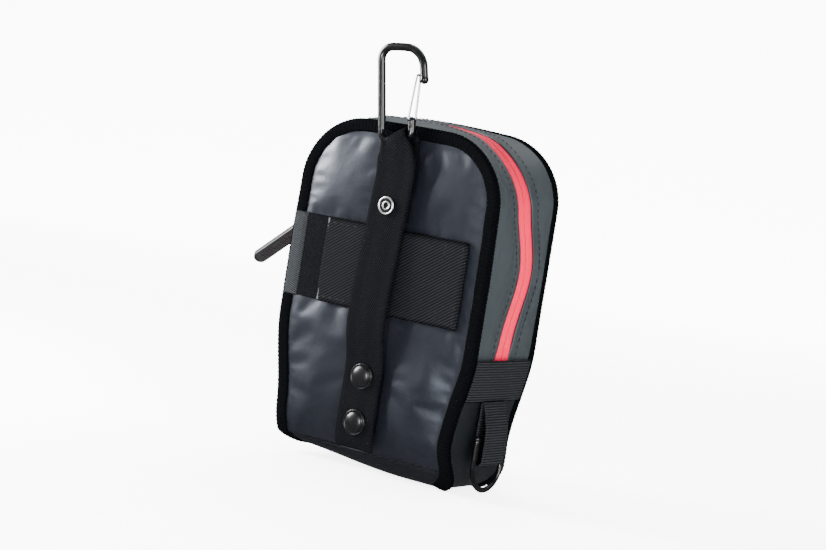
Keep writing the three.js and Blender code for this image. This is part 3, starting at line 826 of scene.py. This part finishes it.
def binding_frames(line, side):
    """Outward directions of panel and gusset along the seam, and the directions into each."""
    x, y, z = line.T
    drop = np.clip((KEEL_UP + KEEL_Z - z) / KEEL_UP, 0, 1)
    panel = unit(np.stack([0 * x, side * np.sqrt(1 - drop**2) * KEEL_UP, -drop * KEEL_IN], 1))
    low = np.clip((FOOT_R + KEEL_Z - z) / FOOT_R, 0, 1)
    rise = np.clip(z - (TOP - TOP_R), 0, TOP_R) / TOP_R
    gusset = np.stack([np.sign(x) * np.sqrt(1 - low**2), 0 * x, -low], 1)
    upper = np.stack([np.sign(x) * np.sqrt(np.clip(1 - rise**2, 0, 1)), 0 * x, rise], 1)
    gusset = np.where((rise > 0)[:, None], upper, gusset)
    gusset = soften(gusset, 6)
    panel = soften(panel, 6)
    along = tangents(line)
    into_panel = np.cross(along, panel)
    into_panel *= -np.sign(np.sum(into_panel * gusset, 1, keepdims=True) + 1e-9)
    into_gusset = np.cross(along, gusset)
    into_gusset *= -np.sign(np.sum(into_gusset * panel, 1, keepdims=True) + 1e-9)
    return panel, gusset, soften(into_panel, 4), soften(into_gusset, 4)


def add_bindings():
    for side, name, nodes in (
        (-1, "rear_binding_tape", ["rear_binding"]),
        (1, "front_binding_tape", ["front_binding_upper", "base_binding_right", "base_binding_left"]),
    ):
        line = edge_line(side, 0.6)
        panel, gusset, into_panel, into_gusset = binding_frames(line, side)
        s = lengths(line)
        rib = 0.13 * np.sin(2 * math.pi * s / 2.4)
        wander = 0.5 * ripple(s / 25, 0.0, 6.0 + side)
        wide = 1 + 0.05 * ripple(s / 18, 0.0, 8.0 + side)
        section = np.array(BINDING)
        n, m = len(line), len(section)
        verts = np.zeros((n, m, 3))
        for j, (a, b, op, og) in enumerate(section):
            swell = (rib if op + og > 0.5 else 0) + 0 * s
            op_all = op + swell * (op > 0.3) + 0.15 * wander * (op > 0.3)
            og_all = og + swell * (og > 0.3) + 0.15 * wander * (og > 0.3)
            verts[:, j] = (
                line
                + into_panel * (a * wide)[:, None]
                + into_gusset * (b * wide)[:, None]
                + panel * op_all[:, None]
                + gusset * og_all[:, None]
            )
        verts[..., 2] = np.maximum(verts[..., 2], KEEL_Z + 0.05)
        faces = grid_faces(n, m, 0, False, True) + end_caps(n, m)
        lay = weave(s[:, None], section[:, 0] - section[:, 1])
        blend = FRONT_FOLD if side > 0 else None
        verts = verts.reshape(-1, 3)
        make(name, verts, faces, "grosgrain", "pouch", lay, replaces=nodes, blend=blend, soft=True)


# ---- Zip ----------------------------------------------------------------------------------
def add_zip():
    path = upper_rim(1.6)
    normal = rim_normals(path)
    middle_y = zip_middle(path[:, 0], path[:, 1])
    out = np.stack([normal[:, 0], 0 * middle_y, normal[:, 1]], 1)
    s = lengths(path)
    for side, word in ((-1, "rear"), (1, "front")):
        blend = GUSSET_FOLD if side > 0 else None
        gap = np.array([0.1, 0.5, 1.4, 3, 5, 7, 8.5, 10, 12])
        lift = np.array([-1.0, -0.55, -0.45, -0.45, -0.5, -0.6, -1.1, -1.6, -1.6]) + 0.5
        base = np.stack([path[:, 0], 0 * middle_y, path[:, 1]], 1)
        p = base[:, None] + out[:, None] * lift[None, :, None]
        p[..., 1] = middle_y[:, None] + side * gap
        verts, faces = slab(p, 0.6)
        lay = weave(s[:, None], gap + 0.3, 2)
        node = f"zip_tape_{word}"
        make(f"{node}_cloth", verts, faces, "zip_tape", "pouch", lay, replaces=[node], blend=blend, soft=True)
        add_coil(word, side, path, out, middle_y, blend)


def add_coil(word, side, path, out, middle_y, blend):
    """The hidden nylon coil: a fine helix along the tape's edge, inside."""
    line = np.stack([path[:, 0], middle_y + side * 1.35, path[:, 1]], 1) - out * 2.6
    line = even(line, 0.3)
    along = tangents(line)
    out = np.stack([along[:, 2], 0 * along[:, 0], -along[:, 0]], 1)
    across = np.cross(along, out)
    turn = 2 * math.pi * lengths(line) / 1.4
    helix = line + across * (0.85 * np.cos(turn))[:, None] + out * (0.6 * np.sin(turn))[:, None]
    verts, faces, lay = tube(helix, 0.3, 5)
    node = f"zip_coil_{word}"
    make(f"{node}_nylon", verts, faces, "zip_coil", "pouch", lay, replaces=[node], blend=blend, soft=True)


def transport(p):
    """Two directions across a line that turn as little as possible along it."""
    t = tangents(p)
    first = np.cross(t[0], [0.0, 0.0, 1.0])
    if np.linalg.norm(first) < 0.1:
        first = np.cross(t[0], [0.0, 1.0, 0.0])
    across = [unit(first)]
    for k in range(1, len(p)):
        v = across[-1] - t[k] * np.dot(across[-1], t[k])
        across.append(unit(v))
    across = np.array(across)
    return across, np.cross(across, t)


def tube(p, radius, sides=16):
    """A round rod with rounded ends along a line."""
    across, out = transport(p)
    radius = np.broadcast_to(radius, len(p))
    section = round_section(1.0, sides) * radius[:, None, None]
    s = lengths(p)
    near = np.minimum(s, s[-1] - s)
    round_off = np.sqrt(np.clip(1 - (1 - np.clip(near / radius, 0.02, 1)) ** 2, 0, 1))
    section *= round_off[:, None, None]
    return sweep(p, across, out, section)


# ---- Stitches -----------------------------------------------------------------------------
def add_stitches(name, line, out, body, length=2.7, pitch=4.0, radius=0.24, blend=None, soft=False):
    """A row of short raised threads along a line."""
    s = lengths(line)
    count = int(s[-1] // pitch)
    verts, faces = [], []
    lift = [0.02, 0.75, 1.0, 0.75, 0.02]
    for k in range(count):
        at = s[-1] * (k + 0.5) / count
        where = np.linspace(at - length / 2, at + length / 2, 5)
        centre = np.stack([np.interp(where, s, line[:, i]) for i in range(3)], 1)
        up = unit(np.array([np.interp(at, s, out[:, i]) for i in range(3)]))
        along = unit(centre[-1] - centre[0])
        side = np.cross(along, up)
        start = len(verts)
        for c, h in zip(centre, lift):
            for turn in range(6):
                a = turn * math.pi / 3
                r = radius * (0.35 + 0.65 * h)
                verts.append(c + side * r * math.cos(a) + up * (r * math.sin(a) + 0.18 * h))
        faces += grid_faces(len(lift), 6, start, False, True) + end_caps(len(lift), 6, start)
    return make(name, verts, faces, "webbing", body, material="thread", blend=blend, soft=soft)


# ---- Strap, belt band and ring loop ---------------------------------------------------------
def web_sweep(line, across, width, thick=WEB_T, bow=0.0):
    """Webbing along a line; the width and the crosswise bow may change along it."""
    along = tangents(line)
    across = unit(across - along * np.sum(across * along, 1, keepdims=True))
    out = np.cross(across, along)
    base = np.array(web_section(WEB, thick, 18))
    section = np.repeat(base[None], len(line), 0)
    section[..., 0] *= (np.broadcast_to(width, len(line)) / WEB)[:, None]
    lift = 1 - (base[:, 0] / (WEB / 2)) ** 2
    section[..., 1] += np.broadcast_to(bow, len(line))[:, None] * lift
    return sweep(line, across, out, section)


BAR = np.array([-2.0, -38.5, 188.5])  # middle of the carabiner's lower bar
LOOP_TILT = math.radians(32)


def strap_line():
    front = [
        (0, -35.4, 8.4), (0, -37.5, 14), (0, -38.2, 24), (0, -38.2, 37), (0, -38.2, 51),
        (0, -38.4, 59), (0, -40.6, 67.5), (0, -43.0, 77), (0, -43.8, 88), (0, -43.0, 105),
        (0.4, -41.7, 124), (0.9, -41.3, 140), (1.5, -41.2, 154), (2.6, -41.6, 168), (2.0, -43.1, 181),
    ]
    up = np.array([-math.sin(LOOP_TILT), 0, math.cos(LOOP_TILT)])
    turn = np.radians(np.arange(180, -1, -22.5))
    wrap = [BAR + up * (0.4 + 4.2 * math.sin(t)) + np.array([0, 3.9 * math.cos(t) - 0.5, 0]) for t in turn]
    back = [(-1.6, -35.3, 181), (-1.0, -36.3, 172), (-0.4, -37.1, 162), (0, -37.2, 152), (0, -37.2, 143.4)]
    return smooth_path([*front, *wrap, *back], 0.7)


def add_strap():
    """The strap, bunched on a slant where it turns round the carabiner's lower bar."""
    line = strap_line()
    s = lengths(line)
    top = s[np.argmax(line[:, 2])]
    bunch = smoothstep(s, top - 21, top - 4) * (1 - smoothstep(s, top + 0.5, top + 4.5))
    lean = LOOP_TILT * smoothstep(s, top - 18, top - 3) * (1 - smoothstep(s, top + 0.5, top + 5))
    across = np.stack([np.cos(lean), 0 * lean, np.sin(lean)], 1)
    line[:, 0] += 2.6 * bunch
    width = WEB + 1.5 - 13 * bunch
    bow = 1.2 * bunch * np.sign(top - s + 1e-6) * smoothstep(np.abs(s - top), 2, 8) + 0.3 * np.sin(s / 23) ** 2
    verts, faces, lay = web_sweep(line, across, width, bow=bow)
    nodes = ["strap_lower", "strap_upper", "strap_tail"]
    make("strap_webbing", verts, faces, "webbing", None, lay, replaces=nodes, blend=STRAP_FOLD)


def add_belt_band():
    mid = sum(BAND_Z) / 2
    points = [
        (41.5, -34.2), (48, -34.2), (53.0, -34.2), (54.2, -34.5), (54.4, -34.95), (54.1, -35.4),
        (53.0, -35.7), (47, -35.75), (40, -35.7), (34, -36.0), (27, -36.7), (14, -37.1), (0, -37.1),
        (-14, -37.1), (-30, -37.1), (BAND_LEFT + 0.1, -37.1),
    ]
    line = smooth_path([(x, y, mid) for x, y in points], 1.0)
    high = BAND_Z[1] - BAND_Z[0]
    across = np.repeat([[0.0, 0.0, 1.0]], len(line), 0)
    sag = 0.35 * np.sin(lengths(line) / 15)
    verts, faces, lay = web_sweep(line, across, high, bow=sag)
    nodes = ["belt_band", "belt_band_end"]
    make("belt_band_webbing", verts, faces, "webbing", None, lay, "band_webbing", nodes, BAND_FOLD)
    z = np.linspace(BAND_Z[0] + 2, BAND_Z[1] - 2, 12)
    out = np.repeat([[0.0, -1.0, 0.0]], len(z), 0)
    for k, x in enumerate((40.5, 52.5)):
        row = np.stack([x + 0 * z, -36.25 + 0 * z, z], 1)
        add_stitches(f"belt_band_stitch_{k + 1}", row, out, "pouch")
    x = np.linspace(BAND_LEFT + 3, SPLIT_X - 5, 8)
    for k, level in enumerate((BAND_Z[0] + 3.2, BAND_Z[1] - 3.2)):
        row = np.stack([x, -37.75 + 0 * x, level + 0 * x], 1)
        add_stitches(f"hook_tape_stitch_{k + 1}", row, out[: len(x)], "band_end")


def patch(x_range, z_range, level, thick, name, slot, body, material=None, replaces=(), fuzz=0.25, flat=None):
    """A flat piece of tape lying on the rear panel, or at a fixed distance, with an uneven face."""
    x, z = np.meshgrid(np.linspace(*x_range, 70), np.linspace(*z_range, 80))
    edge = np.minimum.reduce([x - x_range[0], x_range[1] - x, z - z_range[0], z_range[1] - z])
    y = -panel_out(x, z) if flat is None else flat + 0 * x
    nap = fuzz * ripple(x / 1.7, z / 1.7, 12.0)
    over_binding = 1.1 * smoothstep(np.abs(x), 58.5, 62)
    y = y - level - over_binding - nap - 0.5 * thick * (np.sqrt(np.clip(edge / 1.2, 0, 1)) - 1)
    verts, faces = slab(np.stack([x, y, z], -1), thick)
    return make(name, verts, faces, slot, body, panel_lay(np.stack([x, y, z], -1)), material, replaces)


def add_tapes():
    """The loop strip and its plain edge on the panel, and the band's cut edge and hook strip."""
    low, high = span("loop_tape")
    z_range = (low[2] + 0.4, high[2] - 0.4)
    step = -58.6  # where the plain edge meets the pile
    patch((step, high[0]), z_range, 1.2, 1.3, "loop_tape_pile", "loop_tape", "pouch", replaces=["loop_tape"])
    patch((-67.6, step - 0.3), z_range, 1.0, 1.1, "loop_tape_edge", "webbing", "pouch", "edge_webbing", fuzz=0.05)
    cut = ((BAND_LEFT + 0.2, BAND_LEFT + 1.5), (BAND_Z[0] + 0.8, BAND_Z[1] - 0.8))
    patch(*cut, 0, 0.5, "belt_band_cut_edge", "webbing", "band_end", "cut_edge", fuzz=0.1, flat=-37.95)
    low, high = span("hook_tape")
    hook = ((low[0], high[0]), (low[2], high[2]))
    patch(
        *hook, -1.15, 1.1, "hook_tape_pile", "hook_tape", "band_end",
        replaces=["hook_tape"], fuzz=0.12, flat=low[1],
    )


def add_ring_loop():
    x, low = RING_HIGH[0] - 1.6, LOOP_LOW[2]
    bend = [(x + 3.05 * math.cos(t), low + 3.7 + 3.05 * math.sin(t)) for t in np.radians(np.arange(0, -181, -22.5))]
    points = [
        (67.4, 48.9), (69.4, 43), (71.3, 36), (72.0, 29), (72.05, 21), *bend,
        (65.95, 21), (65.95, 32), (66.1, 41), (66.3, 48.9),
    ]
    line = smooth_path([(a, 0, b) for a, b in points], 0.6)
    across = np.repeat([[0.0, 1.0, 0.0]], len(line), 0)
    verts, faces, lay = web_sweep(line, across, WEB)
    make("ring_loop_webbing", verts, faces, "webbing", "pouch", lay, "ribbed_webbing", ["ring_loop"])


# ---- Metal and rubber -----------------------------------------------------------------------
def add_ring():
    x = RING_HIGH[0] - 1.6
    half, bar, arm = 15.4, 28.0, RING_LOW[2] + 1.6 + 15.4
    bend = [(math.cos(t) * half, arm + math.sin(t) * half) for t in np.radians(np.arange(180, 361, 11.25))]
    points = [(-half, bar), (-half, (bar + arm) / 2), *bend, (half, (bar + arm) / 2), (half, bar)]
    line = smooth_path([(x, a, b) for a, b in points], 0.6)
    rod = even(np.array([[x, -17.0, bar], [x, 17.0, bar]]), 0.5)
    verts, faces = joined(*(tube(p, 1.6, 20)[:2] for p in (line, rod)))
    make("d_ring_metal", verts, faces, "black_metal", "ring", replaces=["d_ring"])


def in_carabiner(points, y=0.0):
    """Points in the carabiner's own plane, across and up from the middle of its lower bar."""
    lean = math.radians(11)
    p = np.array([(*q, y) if len(q) == 2 else q for q in points], float)
    a, u, d = p.T
    spot = np.stack([a * math.cos(lean) - u * math.sin(lean), d, a * math.sin(lean) + u * math.cos(lean)], 1)
    return spot + BAR


def add_carabiner():
    points = [
        (10.3, 12.5), (10.0, 8.5), *arc(4.9, 5, 5, 0, -90, 4), *arc(-5.5, 5, 5, -90, -180, 4),
        (-10.5, 15.8), (-10.5, 26.75), (-10.5, 37), *arc(-3.5, 46.5, 7, 180, 90, 5),
        (0.9, 53.2), *arc(5.3, 39.5, 13, 80, 0, 6), (18.5, 33), (18.3, 30.5),
    ]
    line = in_carabiner(smooth_path(points, 0.6))
    rest = lengths(line)[-1] - lengths(line)
    verts, faces, lay = tube(line, 2.35 + 0.3 * (1 - smoothstep(rest, 2.6, 3.8)), 24)
    make("carabiner_body_metal", verts, faces, "black_metal", "carabiner", lay, replaces=["carabiner_body"])
    a, b = np.array([9.9, 10.5]), np.array([15.0, 36.0])
    legs = [(0.0, 0.5), (0.0, 2.7), (0.04, 3.5), (0.5, 2.8), (0.9, 1.9), (0.99, 1.2), (1.0, 0)]
    legs += [(t, -y) for t, y in legs[-2::-1]]
    line = in_carabiner(smooth_path([(*(a + (b - a) * t), y) for t, y in legs], 0.4))
    verts, faces, lay = tube(line, 0.68, 14)
    make("carabiner_gate_wire", verts, faces, "gate_wire", "gate", lay, replaces=["carabiner_gate"])


def add_snaps():
    for name in ("upper_snap_cap", "lower_snap_cap"):
        low, high = span(name)
        face, top, rim = high[1], low[1], (high[0] - low[0]) / 2
        dome = [
            (6.3 * math.sin(t), face - 0.9 + (top - face + 0.9) * math.cos(t))
            for t in np.linspace(0, math.pi / 2, 12)
        ]
        lip = [
            (6.55, face - 0.75), (6.75, face - 1.15), (7.1, face - 1.3), (rim - 0.1, face - 1.05),
            (rim, face - 0.65), (rim - 0.1, face - 0.2), (rim - 0.4, face), (0, face),
        ]
        verts, faces = turned([*dome, *lip], middle(name)[[0, 2]], 56)
        make(f"{name}_dome", verts, faces, "snap_cap", "strap_flap", replaces=[name])
    low, high = span("tail_snap_eyelet")
    face = high[1]
    at = middle("tail_snap_eyelet")[[0, 2]]
    rings = [round_section(wire, 14) + [radius, face - 0.55] for radius, wire in ((4.75, 0.55), (2.15, 0.5))]
    verts, faces = joined(*(turned(np.vstack([ring, ring[:1]]), at, 56) for ring in rings))
    make("tail_snap_eyelet_rings", verts, faces, "nickel", "pouch", replaces=["tail_snap_eyelet"])
    # A dark disc between and inside the nickel rings: over the hole it is painted shade where the socket's nickel
    # lies behind, and between the rings it darkens the flange.
    dish = [
        (0, face - 0.15), (1.9, face - 0.2), (2.4, face - 0.5), (3.4, face - 0.6),
        (4.6, face - 0.45), (4.8, face), (0, face),
    ]
    verts, faces = turned(dish, at, 56)
    make("tail_snap_eyelet_face", verts, faces, "black_metal", "pouch", material="eyelet_dark_disc")


PULL_PIVOT = np.array([-71.2, 0, 138.0])


def tab_outline(inset):
    """The pull tab's outline pulled in: square at the neck, round at the tip."""
    half, tip, start = 4.25 - inset, 44.75, 6 + inset
    corner = max(1.4 - inset, 0.25)
    return np.vstack([
        arc(tip, 0, half, -90, 90, 20),
        arc(start + corner, half - corner, corner, 90, 180, 6),
        arc(start + corner, corner - half, corner, 180, 270, 6),
    ])


def add_pull():
    drop, twist = math.radians(39), math.radians(50)
    along = np.array([-math.cos(drop), 0, -math.sin(drop)])
    up = np.array([-math.sin(drop), 0, math.cos(drop)])
    wide = up * math.cos(twist) + np.array([0, -math.sin(twist), 0])
    thick = np.cross(along, wide)
    origin = PULL_PIVOT + along * 11
    rings = [
        (2.2, 1.25), (1.25, 1.25), (1.1, 1.4), (1.0, 1.85), (0.75, 2.0), (0.35, 1.9), (0.08, 1.5), (0, 0.9),
    ]
    rings = rings + [(d, -h) for d, h in rings[::-1]]
    loops = np.array([[(x, y, h) for x, y in tab_outline(d)] for d, h in rings])
    n, m, _ = loops.shape
    parts = [(loops.reshape(-1, 3), grid_faces(n, m, 0, False, True) + end_caps(n, m))]
    for x in np.arange(11.0, 43.5, 2.3):
        for face in (1, -1):
            rib = even(np.array([[x - 0.7, -1.9, face * 1.2], [x + 0.7, 1.9, face * 1.2]]), 0.5)
            parts.append(tube(rib, 0.42, 8)[:2])
    washer, more = turned([
        (2.3, -0.6), (2.4, -0.9), (2.7, -1.0), (3.5, -1.0), (3.8, -0.85), (3.9, -0.5),
        (3.9, 0.5), (3.8, 0.85), (3.5, 1.0), (2.7, 1.0), (2.4, 0.9), (2.3, 0.6), (2.3, -0.6),
    ], (0, 0), 40)
    parts.append((washer[:, [0, 2, 1]], more))
    neck = even(np.array([[2.9, 0.0, 0.0], [7.0, 0.0, 0.0]]), 0.5)
    sideways, upward = (np.repeat([d], len(neck), 0) for d in ((0.0, 1.0, 0.0), (0.0, 0.0, 1.0)))
    parts.append(sweep(neck, sideways, upward, web_section(7.0, 2.0, 14))[:2])
    p, faces = joined(*parts)
    p = origin + p[:, :1] * along + p[:, 1:2] * wide + p[:, 2:] * thick
    make("zip_pull_tab_rubber", p, faces, "pull_rubber", "pull", replaces=["zip_pull_tab"])


# ---- Linings --------------------------------------------------------------------------------
INSET = 4.6


def lining_upper(side, low):
    """Half of the lining: from the zip's edge across the strip, round the corner and over the wall."""
    path = rim_path(3.0)
    right = path[(path[:, 1] > low) & (path[:, 0] > 0.5)]
    right = np.vstack([right, [[0.0, right[-1, 1]]]])
    normal = rim_normals(right)
    rim = right - normal * INSET
    rows = []
    for (x, z), wall in zip(rim, keel_y(right[:, 1]) - INSET):
        strip = [(x, y, z) for y in np.linspace(8.2, wall - 3, 7)]
        centre = min(z, TOP - TOP_R - 8)
        inward = np.array([-x, centre - z])
        inward = inward / max(np.linalg.norm(inward), 1e-6)
        corner = [
            (x + inward[0] * 3 * (1 - math.cos(t)), wall - 3 + 3 * math.sin(t), z + inward[1] * 3 * (1 - math.cos(t)))
            for t in np.radians((30, 60, 90))
        ]
        last = np.array(corner[-1])
        end = np.array([0.0, wall, centre])
        rows.append([*strip, *corner, *[last + (end - last) * f for f in np.linspace(0.08, 1, 14)]])
    half = np.array(rows)
    whole = np.concatenate([half, half[:, -2::-1] * [-1, 1, 1]], 1)
    whiff = rough(whole / [24, 24, 40], 20.0 + side)
    whole[..., 1] -= 0.5 * whiff * (whole[..., 1] > 20)
    return whole * [1, side, 1]


def add_linings():
    rear = lining_upper(-1, FOLD_Z - 6)
    verts, faces = slab(rear, 0.6)
    loops = []
    for inset in (INSET + 0.05, INSET + 0.65):
        levels = np.concatenate([[FOLD_Z - 0.4], np.arange(70, 12, -6), np.linspace(10, KEEL_Z + inset, 8)])
        for z in levels:
            side, wall = side_x(z) - inset, keel_y(z) - inset
            a = min(4.0, side, wall)
            loop = np.vstack([
                arc(side - a, wall - a, a, 0, 90, 8), arc(a - side, wall - a, a, 90, 180, 8),
                arc(a - side, a - wall, a, 180, 270, 8), arc(side - a, a - wall, a, 270, 360, 8),
            ])
            loops.append(np.column_stack([loop, np.full(len(loop), z)]))
    outer, inner = loops[: len(levels)], loops[len(levels) :]
    floor = [outer[-1] * [k, k, 1] for k in (0.7, 0.35, 0.02)]
    inner_floor = [inner[-1] * [k, k, 1] for k in (0.02, 0.35, 0.7)]
    rows = np.array([*outer, *floor, *inner_floor, *inner[::-1], outer[0]])
    n, m, _ = rows.shape
    verts, faces = joined((verts, faces), (rows.reshape(-1, 3), grid_faces(n, m, 0, False, True)))
    lay = verts[:, [0, 2, 1]]
    make("rear_lining_fabric", verts, faces, "lining", "pouch", lay, replaces=["rear_lining"], soft=True)
    front = lining_upper(1, FOLD_Z - 6)
    front = front - np.sign(front) * [0, 0.7, 0]
    verts, faces = slab(front, 0.6)
    lay = verts[:, [0, 2, 1]]
    make("front_lining_fabric", verts, faces, "lining", None, lay, None, ["front_lining"], LINING_FOLD, soft=True)


# ---- Light, floor and the whole ---------------------------------------------------------------
def add_light(name, at, aim, size, power):
    data = bpy.data.lights.new(name, "AREA")
    data.shape = "RECTANGLE"
    data.size, data.size_y = size
    data.energy = power
    light = bpy.data.objects.new(name, data)
    bpy.context.scene.collection.objects.link(light)
    light.location = at
    light.rotation_euler = (Vector(at) - Vector(aim)).to_track_quat("Z", "Y").to_euler()


FLOOR_LIGHT = 4.6  # the floor's own light near the pouch
FLOOR_GLOW = 8.0  # and far behind it


def add_floor():
    """A pale floor that curves up into a backdrop."""
    depth = np.concatenate([np.linspace(-9, 1.6, 22), 1.6 + np.sin(np.linspace(0, math.pi / 2, 12)[1:]), [2.6, 2.6]])
    height = np.concatenate([np.zeros(22), 1 - np.cos(np.linspace(0, math.pi / 2, 12)[1:]), [2.0, 4.0]])
    away = np.array([-math.sin(AZIMUTH), math.cos(AZIMUTH)])
    side = np.array([math.cos(AZIMUTH), math.sin(AZIMUTH)])
    u = np.linspace(-9, 9, 19)
    rows = []
    for d, h in zip(depth, height):
        rows.append([(*(away * d + side * a), h) for a in u])
    p = np.array(rows)
    mesh = bpy.data.meshes.new("floor")
    mesh.from_pydata(p.reshape(-1, 3).tolist(), [], grid_faces(*p.shape[:2]))
    mesh.shade_smooth()
    floor = Nodes("floor_paper", (0.93, 0.93, 0.93), 0.9, Emission_Color=(1, 1, 1, 1), Specular_IOR_Level=0.1)
    parts = floor.tree.nodes.new("ShaderNodeSeparateXYZ")
    floor.plug(parts.inputs[0], floor.place())
    steps = [floor.math("MULTIPLY", parts.outputs[k], away[k]) for k in (0, 1)]
    beyond = floor.math("ADD", *steps)
    glow = floor.node("MapRange", Value=beyond, interpolation_type="SMOOTHSTEP")
    for socket, value in zip(glow.inputs[1:5], (300, 2000, FLOOR_LIGHT, FLOOR_GLOW)):
        socket.default_value = value
    floor.plug(floor.shader.inputs["Emission Strength"], glow.outputs[0])
    mesh.materials.append(floor.material)
    obj = bpy.data.objects.new("floor", mesh)
    bpy.context.scene.collection.objects.link(obj)
    obj.visible_glossy = False  # or the whole floor would show as a grey veil in the dark fabrics


def add_lights():
    world = bpy.context.scene.world or bpy.data.worlds.new("studio")
    bpy.context.scene.world = world
    world.use_nodes = True
    world.node_tree.nodes["Background"].inputs[0].default_value = (1, 1, 1, 1)
    world.node_tree.nodes["Background"].inputs[1].default_value = 0.18
    aim = (0, 0, 0.1)
    add_light("softbox_left", (-0.68, -0.33, 0.38), (0, 0, 0.12), (0.3, 0.4), 33)
    add_light("softbox_right", (1.0, -0.45, 0.42), aim, (0.6, 0.7), 19)
    add_light("low_front", (0.22, -0.78, 0.14), (0.03, 0, 0.05), (0.08, 0.3), 9.0)
    add_light("overhead", (-0.1, 0.65, 1.5), (0, 0.4, 0), (1.6, 1.6), 24)


def finish_nodes():
    """Gives each CAD node that stays its procedural material."""
    slots = {
        "zip_slider": "zip_metal", "zip_pull_link": "zip_metal",
        "upper_snap_socket": "snap_metal", "upper_snap_stud": "snap_metal",
        "lower_snap_socket": "snap_metal", "lower_snap_stud": "snap_metal",
        "tail_snap_socket": "nickel", "tail_snap_stud": "nickel",
    }
    for node, slot in slots.items():
        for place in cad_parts[node].material_slots:
            place.material = MATERIALS[slot]


add_camera()
add_panels()
add_base()
add_gusset()
add_feet()
add_side_bands()
add_bindings()
add_zip()
add_strap()
add_belt_band()
add_tapes()
add_ring_loop()
add_ring()
add_carabiner()
add_snaps()
add_pull()
add_linings()
finish_nodes()
add_lights()
add_floor()
